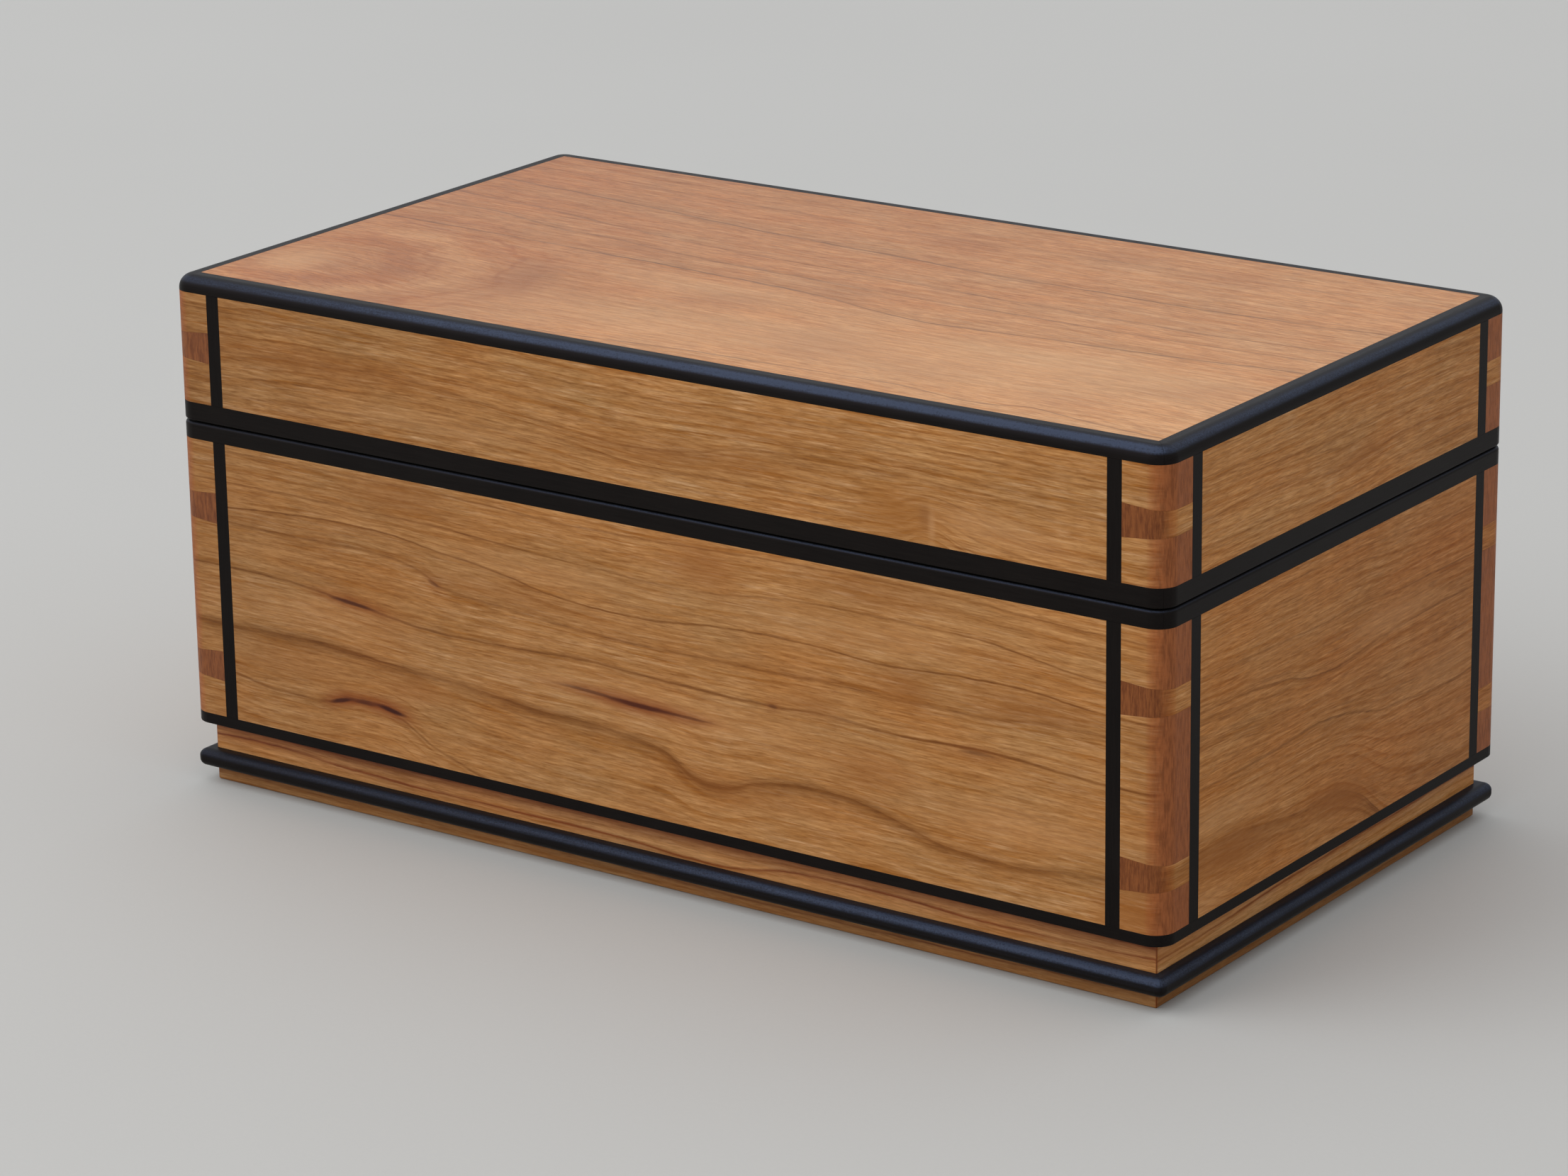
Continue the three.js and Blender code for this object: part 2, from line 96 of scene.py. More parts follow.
# ------------------------------------------------------------------ node graphs
class Graph:
    """Short names for building a node tree. A value is a number or another node's output."""

    def __init__(self, tree):
        self.tree = tree
        tree.nodes.clear()

    def node(self, kind, **settings):
        n = self.tree.nodes.new(kind)
        for key, value in settings.items():
            setattr(n, key, value)
        return n

    def put(self, socket, value):
        if isinstance(value, bpy.types.NodeSocket):
            self.tree.links.new(value, socket)
        elif value is not None:
            socket.default_value = value

    def math(self, op, a, b=None, c=None, clamp=False):
        n = self.node("ShaderNodeMath", operation=op, use_clamp=clamp)
        for socket, value in zip(n.inputs, (a, b, c)):
            self.put(socket, value)
        return n.outputs[0]

    def add(self, *values):
        total = values[0]
        for v in values[1:]:
            total = self.math("ADD", total, v)
        return total

    def mul(self, a, b):
        return self.math("MULTIPLY", a, b)

    def sub(self, a, b):
        return self.math("SUBTRACT", a, b)

    def fit(self, value, a, b, c=0.0, d=1.0, smooth=False):
        n = self.node("ShaderNodeMapRange", interpolation_type="SMOOTHSTEP" if smooth else "LINEAR")
        for socket, v in zip(n.inputs[:5], (value, a, b, c, d)):
            self.put(socket, v)
        return n.outputs[0]

    def xyz(self, x, y, z):
        n = self.node("ShaderNodeCombineXYZ")
        for socket, v in zip(n.inputs, (x, y, z)):
            self.put(socket, v)
        return n.outputs[0]

    def split(self, vector):
        n = self.node("ShaderNodeSeparateXYZ")
        self.put(n.inputs[0], vector)
        return n.outputs

    def noise(self, vector, scale=1.0, detail=2.0, rough=0.5, warp=0.0):
        n = self.node("ShaderNodeTexNoise", noise_dimensions="3D")
        self.put(n.inputs["Vector"], vector)
        self.put(n.inputs["Scale"], scale)
        self.put(n.inputs["Detail"], detail)
        self.put(n.inputs["Roughness"], rough)
        self.put(n.inputs["Distortion"], warp)
        return n.outputs[0]

    def mix(self, share, a, b, kind="MIX"):
        n = self.node("ShaderNodeMix", data_type="RGBA", blend_type=kind)
        self.put(n.inputs[0], share)
        for socket, v in ((n.inputs[6], a), (n.inputs[7], b)):
            self.put(socket, (*v, 1.0) if isinstance(v, tuple) and len(v) == 3 else v)
        return n.outputs[2]

    def line(self, along, points, span, height):
        """Height of a growth line, given as (along, height) points, over a board of that span and height."""
        n = self.node("ShaderNodeFloatCurve")
        curve = n.mapping.curves[0]
        low, high = span
        known = [((x - low) / (high - low), y / height) for x, y in points]
        known = [(x, y) for x, y in known if 0.0 <= x <= 1.0]
        if known[0][0] > 0:
            known.insert(0, (0.0, known[0][1]))
        if known[-1][0] < 1:
            known.append((1.0, known[-1][1]))
        curve.points[0].location = known[0]
        curve.points[1].location = known[-1]
        for p in known[1:-1]:
            curve.points.new(*p)
        for p in curve.points:
            p.handle_type = "AUTO"
        n.mapping.extend = "HORIZONTAL"
        n.mapping.update()
        self.put(n.inputs["Value"], self.fit(along, low, high))
        return self.mul(n.outputs[0], height)


def material(name):
    m = bpy.data.materials.new(name)
    m.use_nodes = True
    g = Graph(m.node_tree)
    shader = g.node("ShaderNodeBsdfPrincipled")
    out = g.node("ShaderNodeOutputMaterial")
    g.tree.links.new(shader.outputs[0], out.inputs[0])
    return m, g, shader


# ------------------------------------------------------------------ wood
# A board's figure is drawn by its growth lines: each is the height of one line along the board, and how dark its core and its
# two soft sides are. Everything finer (fibres, bands, pores) runs parallel to them.
LIGHT = (0.558, 0.275, 0.097)
DEEP = (0.358, 0.127, 0.019)
LINE = (0.230, 0.077, 0.012)
FLECK = (0.620, 0.335, 0.150)
GUM = (0.046, 0.007, 0.003)
TAIL_ENDS = ((0.336, 0.102, 0.029), (0.214, 0.061, 0.016), 0.0, 0.78)
PIN_ENDS = ((0.268, 0.086, 0.025), (0.157, 0.045, 0.014), 0.03, 0.84)


def board(
    name, along, upward, lines, span, height, seed=0.0, flip=(1, 1), lift=0.0, fibre=1.0, wisps=1.0, flecks=1.0, hairs=1.0,
    streaks=(), knots=(), patches=(), rings=(), light=LIGHT, deep=DEEP, dark=LINE, ends=None, wobble=0.2, gloss=0.25,
    arch=None, lean=(0.0, 0.0), mitres=None, tone=(), layers=None,
):
    m, g, shader = material(name)
    coords = g.node("ShaderNodeTexCoord")
    place = g.split(coords.outputs["Object"])
    facing = g.split(coords.outputs["Normal"])
    axis = {"x": 0, "y": 1, "z": 2}
    across = ({0, 1, 2} - {axis[along], axis[upward]}).pop()
    u = g.mul(place[axis[along]], 1000.0 * flip[0])
    v = g.mul(place[axis[upward]], 1000.0 * flip[1])
    if lift:
        v = g.add(v, lift)
    w = g.mul(place[across], 1000.0)

    # slow waviness of every line
    slow = g.noise(g.xyz(g.mul(u, 0.045), g.mul(v, 0.05), seed), 1.0, 3.0, 0.6)
    vv = g.add(v, g.mul(g.sub(slow, 0.5), wobble * 6.0))
    fine = g.noise(g.xyz(g.mul(u, 0.35), g.mul(v, 0.3), seed + 3.0), 1.0, 2.0, 0.6)
    vv = g.add(vv, g.mul(g.sub(fine, 0.5), wobble * 1.1))

    heights = [g.line(u, points, span, height) for points, *_ in lines]
    # the figure's own coordinate: rises evenly from one growth line to the next
    flow = None
    mean = [sum(y for _, y in points) / len(points) for points, *_ in lines]
    for i in range(len(lines) - 1):
        step = g.fit(vv, heights[i + 1], heights[i], 0.0, mean[i] - mean[i + 1])
        flow = step if flow is None else g.add(flow, step)
    outside = g.add(
        g.math("MAXIMUM", g.sub(vv, heights[0]), 0.0), g.math("MINIMUM", g.sub(vv, heights[-1]), 0.0)
    )
    flow = g.add(flow, outside)
    radius = None
    if arch:
        # the swirl: rings round a point, which take over from the long lines inside a soft border
        ax, ay, ratio, inner, outer = arch
        du = g.mul(g.sub(u, ax), ratio)
        dv = g.sub(v, ay)
        radius = g.math("SQRT", g.add(g.mul(du, du), g.mul(dv, dv)))
        radius = g.add(radius, g.mul(g.sub(slow, 0.5), 16.0))
        inside = g.fit(radius, inner, outer, 1.0, 0.0, smooth=True)
        flow = g.add(g.mul(flow, g.sub(1.0, inside)), g.mul(radius, inside))

    darkness = None
    for (points, core, core_w, below, below_w, above, above_w), h in zip(lines, heights):
        d = g.sub(vv, h)
        parts = []
        if core:
            parts.append(g.mul(g.fit(g.math("ABSOLUTE", d), 0.0, core_w, 1.0, 0.0, smooth=True), core))
        if below:
            parts.append(g.mul(g.mul(g.fit(d, -below_w, 0.0, 0.0, 1.0, smooth=True), g.math("LESS_THAN", d, 0.0)), below))
        if above:
            parts.append(g.mul(g.mul(g.fit(d, 0.0, above_w, 1.0, 0.0, smooth=True), g.math("GREATER_THAN", d, 0.0)), above))
        if parts:
            s = g.add(*parts)
            darkness = s if darkness is None else g.add(darkness, s)
    fade = g.noise(g.xyz(g.mul(u, 0.028), g.mul(v, 0.06), seed + 7.0), 1.0, 2.0, 0.55)
    darkness = g.mul(darkness, g.fit(fade, 0.3, 0.7, 0.75, 1.45))

    # bands follow the growth lines; fibres, pores and flecks run nearly straight along the board, as its cells do
    straight = g.add(g.mul(v, 0.82), g.mul(flow, 0.18))
    bands = g.noise(g.xyz(g.mul(u, 0.007), g.mul(flow, 0.27), seed + 11.0), 1.0, 3.0, 0.62)
    strands = g.noise(g.xyz(g.mul(u, 0.048), g.mul(straight, 0.95), g.add(g.mul(w, 0.2), seed)), 1.0, 3.0, 0.74)
    threads = g.noise(g.xyz(g.mul(u, 0.22), g.mul(straight, 2.6), g.add(g.mul(w, 0.5), seed + 5.0)), 1.0, 2.0, 0.65)
    pores = g.noise(g.xyz(g.mul(u, 0.55), g.mul(straight, 6.5), g.mul(w, 1.0)), 1.0, 1.0, 0.5)
    mottle = g.noise(g.xyz(g.mul(u, 0.055), g.mul(v, 0.06), seed + 17.0), 1.0, 2.0, 0.5)
    clusters = g.noise(g.xyz(g.mul(u, 0.009), g.mul(flow, 0.075), seed + 41.0), 1.0, 2.0, 0.55)

    parts = [
        g.mul(g.sub(bands, 0.5), 0.98 * wisps),
        g.mul(g.sub(strands, 0.5), 1.30 * fibre),
        g.mul(g.sub(mottle, 0.5), 0.46),
        0.50,
    ]
    if layers:
        # the thin yearly layers between the drawn lines: each darkens slowly and ends at a sharp edge
        spacing, amount = layers
        drift = g.noise(g.xyz(g.mul(u, 0.012), g.mul(flow, 0.07), seed + 53.0), 1.0, 2.0, 0.5)
        phase = g.math("FRACT", g.add(g.mul(flow, 1.0 / spacing), g.mul(drift, 3.0)))
        late = g.mul(g.fit(phase, 0.40, 0.90, smooth=True), g.fit(phase, 0.93, 1.0, 1.0, 0.0))
        amount = g.fit(g.noise(g.xyz(g.mul(u, 0.022), g.mul(flow, 0.30), seed + 59.0), 1.0, 2.0, 0.5), 0.36, 0.64, 0.25 * amount, 1.6 * amount)
        parts.append(g.mul(g.sub(late, 0.30), amount))
    if lean != (0.0, 0.0):
        parts += [g.mul(u, lean[0]), g.mul(g.sub(v, height / 2), lean[1])]
    for r, width, amount in rings:
        ring = g.fit(g.math("ABSOLUTE", g.sub(radius, r)), 0.0, width, 1.0, 0.0, smooth=True)
        parts.append(g.mul(g.mul(ring, amount), g.fit(du, -16.0, 9.0, 0.15, 1.0, smooth=True)))
    share = g.add(*parts)
    colour = g.mix(g.math("MAXIMUM", g.math("MINIMUM", share, 1.0), 0.0), light, deep)
    # hair-fine dark lines in clusters, and short light flecks
    hair = g.noise(g.xyz(g.mul(u, 0.011), g.mul(flow, 0.50), seed + 37.0), 1.0, 2.0, 0.5)
    hair = g.fit(g.math("ABSOLUTE", g.sub(hair, 0.5)), 0.0, 0.035, 1.0, 0.0, smooth=True)
    hair = g.mul(hair, g.fit(clusters, 0.44, 0.62, 0.03 * hairs, 0.26 * hairs, smooth=True))
    bright = g.noise(g.xyz(g.mul(u, 0.095), g.mul(straight, 1.8), g.add(g.mul(w, 0.2), seed + 31.0)), 1.0, 2.0, 0.6)
    bright = g.mul(g.fit(bright, 0.52, 0.74), g.fit(clusters, 0.42, 0.62, 0.75 * flecks, 0.30 * flecks, smooth=True))
    colour = g.mix(g.math("MINIMUM", bright, 0.85), colour, FLECK)
    colour = g.mix(g.math("MINIMUM", g.add(darkness, hair), 1.0), colour, dark)
    grain = g.add(
        1.0,
        g.mul(g.sub(threads, 0.5), -1.12 * fibre),
        g.mul(g.fit(pores, 0.60, 0.74), -0.22),
    )
    warm = g.math("MULTIPLY_ADD", grain, 0.80, 0.20)
    cool = g.math("MULTIPLY_ADD", grain, 1.35, -0.35)
    colour = g.mix(1.0, colour, g.xyz(warm, grain, cool), "MULTIPLY")
    hue = g.noise(g.xyz(g.mul(u, 0.030), g.mul(v, 0.075), seed + 43.0), 1.0, 2.0, 0.5)
    colour = g.mix(1.0, colour, g.mix(g.fit(hue, 0.3, 0.7), (1.04, 0.98, 0.89), (0.97, 1.02, 1.09)), "MULTIPLY")
    # painted light and shade: each tone multiplies the colour along the board, lighter or darker as the light falls on
    # that face
    for coordinate, a, b, c, d in tone:
        depth = g.mix(g.fit({"u": u, "v": v}[coordinate], a, b), c, d)
        colour = g.mix(1.0, colour, depth, "MULTIPLY")
    if mitres:
        # the glue line where two sides of a frame meet at 45 degrees
        off = g.math("ABSOLUTE", g.sub(mitres, g.math("ABSOLUTE", u)))
        colour = g.mix(g.fit(off, 0.12, 0.42, 0.75, 0.0, smooth=True), colour, dark)

    def spot(cu, cv, ru, rv, lean=0.0, soft=0.35):
        du = g.sub(u, cu)
        dv = g.sub(g.sub(vv, cv), g.mul(du, lean))
        r = g.math("SQRT", g.add(g.math("POWER", g.mul(du, 1.0 / ru), 2.0), g.math("POWER", g.mul(dv, 1.0 / rv), 2.0)))
        return g.fit(r, 1.0 - soft, 1.0 + soft, 1.0, 0.0, smooth=True)

    for cu, cv, ru, rv, slope, amount in patches:
        tint = (0.300, 0.094, 0.014) if amount > 0 else (0.600, 0.310, 0.128)
        colour = g.mix(g.mul(spot(cu, cv, ru, rv, slope, 0.85), abs(amount)), colour, tint)
    for cu, cv, ru, rv, slope, amount in streaks:
        colour = g.mix(g.mul(spot(cu, cv, ru * 1.5, rv * 3.8, slope, 0.9), 0.80 * amount), colour, (0.245, 0.052, 0.008))
        colour = g.mix(g.mul(spot(cu, cv, ru, rv * 1.20, slope, 0.5), min(1.0, amount * 1.25)), colour, GUM)
    for cu, cv, r in knots:
        colour = g.mix(g.mul(spot(cu - 3.6 * r, cv, r * 5.2, r * 3.2, 0.0, 0.9), 0.55), colour, deep)
        colour = g.mix(g.mul(spot(cu, cv + 0.5 * r, r * 0.70, r * 1.3, 0.0, 0.9), 0.40), colour, (0.230, 0.080, 0.022))
        colour = g.mix(g.mul(spot(cu + 0.9 * r, cv - 0.4 * r, r * 0.40, r * 1.6, 0.0, 0.9), 0.34), colour, FLECK)
        colour = g.mix(g.mul(spot(cu + 7.5 * r, cv + 0.3 * r, r * 5.5, r * 2.2, 0.0, 0.9), 0.13), colour, FLECK)

    rough = g.add(0.43, g.mul(g.sub(strands, 0.5), 0.22), g.mul(g.fit(pores, 0.60, 0.74), 0.14))
    if ends:
        # end grain where the surface faces along the fibres: dark, with fine rings crossed by rays
        facing_end = g.fit(g.math("ABSOLUTE", facing[axis[along]]), ends[2], ends[3])
        rings_cut = g.noise(g.xyz(g.mul(w, 0.9), g.mul(g.add(v, g.mul(w, 0.35)), 0.16), seed + 23.0), 1.0, 3.0, 0.6)
        rays = g.noise(g.xyz(g.mul(w, 2.6), g.mul(v, 0.28), seed + 29.0), 1.0, 2.0, 0.65)
        depth = g.add(g.mul(g.sub(rings_cut, 0.5), 2.6), g.mul(g.sub(rays, 0.5), 3.2), 0.45)
        cut = g.mix(g.math("MAXIMUM", g.math("MINIMUM", depth, 1.0), 0.0), ends[0], ends[1])
        colour = g.mix(facing_end, colour, cut)
        # painted shade: across the turn from long grain to end grain the colour is made redder and darker, standing in
        # for the sheen the rounded corner loses
        colour = g.mix(g.mul(g.mul(facing_end, g.sub(1.0, facing_end)), 2.8), colour, (1.06, 0.90, 0.84), "MULTIPLY")
        rough = g.add(g.mul(facing_end, 0.10), rough)
    g.put(shader.inputs["Base Color"], colour)
    g.put(shader.inputs["Roughness"], rough)
    shader.inputs["IOR"].default_value = 1.5
    shader.inputs["Specular IOR Level"].default_value = gloss
    bump = g.node("ShaderNodeBump")
    bump.inputs["Strength"].default_value = 0.25
    bump.inputs["Distance"].default_value = 0.00012
    g.put(bump.inputs["Height"], g.sub(g.add(g.mul(threads, 0.6), g.mul(strands, 0.5)), g.mul(g.fit(pores, 0.60, 0.74), 0.8)))
    g.tree.links.new(bump.outputs[0], shader.inputs["Normal"])
    return m


# growth lines: points, core, core width, below, its width, above, its width
FRONT_LINES = [
    ([(-125, 87.3), (-80, 87.2), (-50, 87.0), (-20, 86.0), (20, 87.0), (70, 87.6), (90, 87.3), (105, 86.2), (130, 85.2)], 0.49, 0.44, 0.08, 3, 0, 0),
    ([(-125, 79.5), (-80, 79.3), (-60, 79.0), (-40, 78.0), (-20, 77.0), (5, 76.1), (20, 76.6), (40, 78.7), (60, 79.2), (80, 79.0), (95, 78.5), (105, 77.0), (120, 75.0), (135, 74.4)], 0.55, 0.4, 0.09, 5, 0, 0),
    ([(-130, 72.8), (-115, 74.0), (-100, 74.9), (-80, 75.1), (-70, 74.4), (-60, 73.0), (-40, 70.5), (-30, 68.7), (-20, 67.7), (-8, 67.1), (5, 67.3), (20, 68.8), (35, 69.4), (50, 69.1), (65, 68.2), (80, 69.0), (95, 69.4), (108, 69.0), (118, 67.8), (135, 67.0)], 0.74, 0.4, 0.16, 4.5, 0, 0),
    ([(-130, 69.2), (-95, 69.3), (-80, 69.3), (-70, 68.3), (-64, 66.5), (-60, 64.4), (-54, 63.4), (-40, 62.3), (-20, 61.0), (0, 60.4), (40, 60.8), (80, 60.6), (95, 60.8), (105, 61.8), (118, 62.5), (135, 62.0)], 0.41, 0.64, 0.03, 3, 0.19, 5.5),
    ([(-130, 57.9), (-110, 57.6), (-100, 57.0), (-88, 55.6), (-75, 53.9), (-65, 52.9), (-55, 52.7), (-40, 53.0), (-15, 53.8), (0, 53.1), (40, 52.8), (50, 53.4), (60, 52.6), (100, 52.8), (120, 51.6), (135, 51.3)], 0.79, 0.6, 0.08, 3, 0, 0),
    ([(-130, 43.3), (-110, 43.7), (-95, 43.6), (-80, 42.5), (-60, 41.5), (-45, 40.3), (-30, 39.0), (-15, 38.6), (0, 37.3), (6, 35.8), (10, 33.4), (14, 31.2), (20, 30.2), (26, 31.2), (32, 33.2), (42, 34.7), (52, 35.0), (60, 34.2), (68, 32.6), (76, 30.3), (84, 28.4), (92, 27.8), (100, 27.5), (108, 28.0), (116, 29.2), (135, 29.6)], 0.36, 1.9, 0.52, 4.4, 0.17, 1.8),
    ([(-130, 31.4), (-115, 29.3), (-105, 28.8), (-96, 29.0), (-90, 30.2), (-84, 31.0), (-78, 30.3), (-73, 28.8), (-68, 26.3), (-63, 23.6), (-56, 21.2), (-45, 18.0), (-20, 14.0), (20, 13.0), (135, 11.0)], 0.58, 0.64, 0.11, 3.5, 0, 0),
]
LID_FRONT_LINES = [
    ([(-130, 122.3), (-80, 122.0), (-40, 121.0), (0, 120.0), (40, 120.6), (80, 120.2), (130, 119.6)], 0.31, 0.4, 0.09, 2.6, 0, 0),
    ([(-130, 116.8), (-90, 117.4), (-60, 116.8), (-30, 115.0), (0, 113.5), (30, 115.2), (60, 116.0), (90, 115.2), (130, 114.6)], 0.22, 0.4, 0.1, 3, 0, 0),
    ([(-130, 112.3), (-110, 113.3), (-80, 114.0), (-60, 113.1), (-40, 111.2), (-20, 109.2), (0, 108.0), (15, 109.2), (25, 111.2), (40, 112.8), (60, 113.4), (76, 112.8), (90, 112.4), (130, 111.0)], 0.26, 0.55, 0.16, 4.2, 0.05, 1.6),
    ([(-130, 106.2), (-90, 108.0), (-60, 108.5), (-40, 107.5), (-20, 106.0), (0, 103.9), (20, 103.9), (40, 104.4), (60, 105.2), (70, 106.6), (76, 108.6), (79, 109.4), (84, 109.0), (90, 107.2), (98, 104.6), (108, 102.6), (130, 101.6)], 0.32, 0.4, 0.08, 2.4, 0, 0),
    ([(-130, 101.4), (-90, 102.6), (-60, 103.4), (-30, 102.2), (0, 100.2), (40, 100.6), (62, 101.6), (72, 103.4), (77, 105.6), (81, 105.4), (88, 102.6), (96, 100.4), (130, 98.4)], 0.26, 0.48, 0.07, 2.4, 0, 0),
]
SIDE_LINES = [
    ([(-70, 86.3), (-40, 85.8), (0, 86.0), (10, 85.5), (20, 84.4), (40, 83.0), (70, 82.0)], 0.32, 0.4, 0.06, 3, 0, 0),
    ([(-70, 74.2), (-40, 73.3), (-20, 72.5), (0, 72.0), (10, 72.2), (20, 71.3), (30, 70.6), (45, 70.2), (70, 70.0)], 0.45, 0.44, 0.09, 4, 0, 0),
    ([(-70, 66.8), (-50, 65.7), (-40, 65.0), (-30, 63.9), (-23, 63.0), (-18, 61.5), (-10, 60.2), (0, 60.0), (10, 60.8), (20, 61.5), (35, 62.0), (70, 62.0)], 0.52, 0.48, 0.03, 3, 0.14, 5),
    ([(-70, 58.9), (-50, 57.3), (-40, 56.3), (-30, 55.0), (-20, 54.0), (0, 53.3), (20, 53.0), (40, 53.3), (70, 54.0)], 0.21, 0.56, 0.03, 3, 0.12, 4.5),
    ([(-70, 48.4), (-40, 48.0), (-30, 48.0), (-20, 48.5), (-10, 48.6), (0, 47.5), (8, 46.0), (15, 44.3), (20, 43.4), (30, 42.8), (40, 41.7), (50, 41.0), (70, 41.8)], 0.56, 0.52, 0.05, 3, 0, 0),
    ([(-70, 33.4), (-50, 34.0), (-40, 33.0), (-30, 31.5), (-20, 30.4), (-10, 30.4), (0, 29.8), (5, 28.0), (11, 25.0), (16, 21.0), (24, 16.0), (70, 8.0)], 0.12, 0.96, 0.34, 8.5, 0, 0),
    ([(-70, 26.0), (-60, 24.0), (-50, 21.5), (-30, 18.0), (0, 14.0), (70, 4.0)], 0.13, 0.8, 0, 0, 0.1, 2.5),
]
LID_SIDE_LINES = [
    ([(-70, 122.4), (-30, 121.8), (0, 122.4), (30, 121.4), (70, 120.4)], 0.22, 0.4, 0.07, 2.6, 0, 0),
    ([(-70, 116.6), (-40, 115.6), (-10, 114.6), (20, 114.8), (45, 114.2), (70, 112.8)], 0.28, 0.44, 0.08, 3.4, 0, 0),
    ([(-70, 109.4), (-45, 110.2), (-30, 109.8), (-15, 108.0), (0, 106.4), (15, 107.6), (30, 108.4), (50, 107.4), (70, 106.6)], 0.27, 0.50, 0.1, 3, 0.07, 2.4),
    ([(-70, 103.6), (-40, 103.0), (-15, 101.8), (5, 101.0), (25, 102.4), (50, 102.8), (70, 102.0)], 0.28, 0.48, 0.07, 3, 0, 0),
]
# the top panel's lines are given from the front edge, 0, to the back edge, 153.6
TOP_LINES = [
    ([(-140, 147.0), (-60, 146.0), (0, 147.0), (60, 146.0), (140, 147.5)], 0.18, 0.9, 0, 0, 0.07, 5),
    ([(-140, 136.0), (-80, 132.0), (-20, 129.0), (30, 130.0), (80, 131.5), (140, 133.0)], 0.23, 1.05, 0.07, 5, 0, 0),
    ([(-140, 122.0), (-120, 119.5), (-105, 118.0), (-80, 115.0), (-60, 112.2), (-40, 109.6), (-20, 108.2), (0, 107.0), (20, 105.0), (40, 103.8), (80, 103.4), (95, 103.1), (110, 103.8), (140, 107.0)], 0.64, 0.75, 0.06, 4, 0.14, 7),
    ([(-140, 104.0), (-110, 101.0), (-80, 96.0), (-50, 91.5), (-10, 88.5), (20, 87.0), (60, 85.3), (100, 84.8), (120, 86.0), (140, 88.5)], 0.45, 0.68, 0.04, 4, 0.11, 5),
    ([(-140, 92.5), (-110, 91.0), (-100, 88.4), (-88, 85.4), (-70, 84.4), (-55, 81.8), (-40, 80.2), (-10, 78.0), (40, 76.4), (100, 76.0), (140, 78.0)], 0.41, 0.75, 0.04, 4, 0.11, 5),
    ([(-140, 73.6), (-120, 74.2), (-90, 73.0), (-60, 71.4), (-40, 70.0), (-20, 68.6), (0, 67.2), (10, 65.2), (20, 62.6), (30, 60.4), (40, 59.6), (50, 60.0), (60, 61.0), (80, 62.5), (100, 64.0), (120, 66.0), (140, 68.0)], 0.75, 0.68, 0, 0, 0.15, 8),
    ([(-140, 30.0), (-60, 34.0), (0, 36.0), (60, 33.0), (110, 38.0), (140, 28.0)], 0.1, 2.25, 0.06, 8, 0.04, 6),
    ([(-140, 2.0), (-60, 4.0), (-20, 7.4), (10, 10.8), (40, 11.4), (60, 12.2), (72, 11.2), (82, 9.2), (90, 10.2), (97, 12.6), (105, 11.0), (120, 8.6), (140, 7.0)], 0.64, 0.6, 0.03, 3, 0, 0),
]
PLINTH_LINES = [
    ([(-140, 15.0), (-90, 14.2), (-40, 15.2), (10, 14.6), (60, 15.4), (140, 14.2)], 0.27, 0.4, 0.24, 2.0, 0, 0),
    ([(-140, 11.6), (-118, 12.4), (-95, 11.0), (-50, 10.4), (-10, 10.0), (10, 9.0), (22, 9.4), (38, 11.6), (60, 12.0), (95, 11.0), (140, 11.8)], 0.59, 0.6, 0.33, 2.4, 0, 0),
    ([(-140, 2.6), (-40, 3.4), (40, 2.2), (140, 3.2)], 0.41, 0.5, 0.15, 2.0, 0, 0),
]
PLINTH_SIDE_LINES = [
    ([(-140, 14.6), (-40, 14.8), (20, 14.2), (140, 14.9)], 0.2, 0.4, 0.14, 2.0, 0, 0),
    ([(-140, 10.8), (-77, 11.1), (-40, 11.4), (-26, 12.2), (-10, 12.3), (20, 12.7), (140, 13.0)], 0.75, 0.5, 0.2, 2.0, 0, 0),
    ([(-140, 2.2), (-20, 3.0), (30, 2.4), (140, 3.0)], 0.33, 0.5, 0.14, 2.0, 0, 0),
]

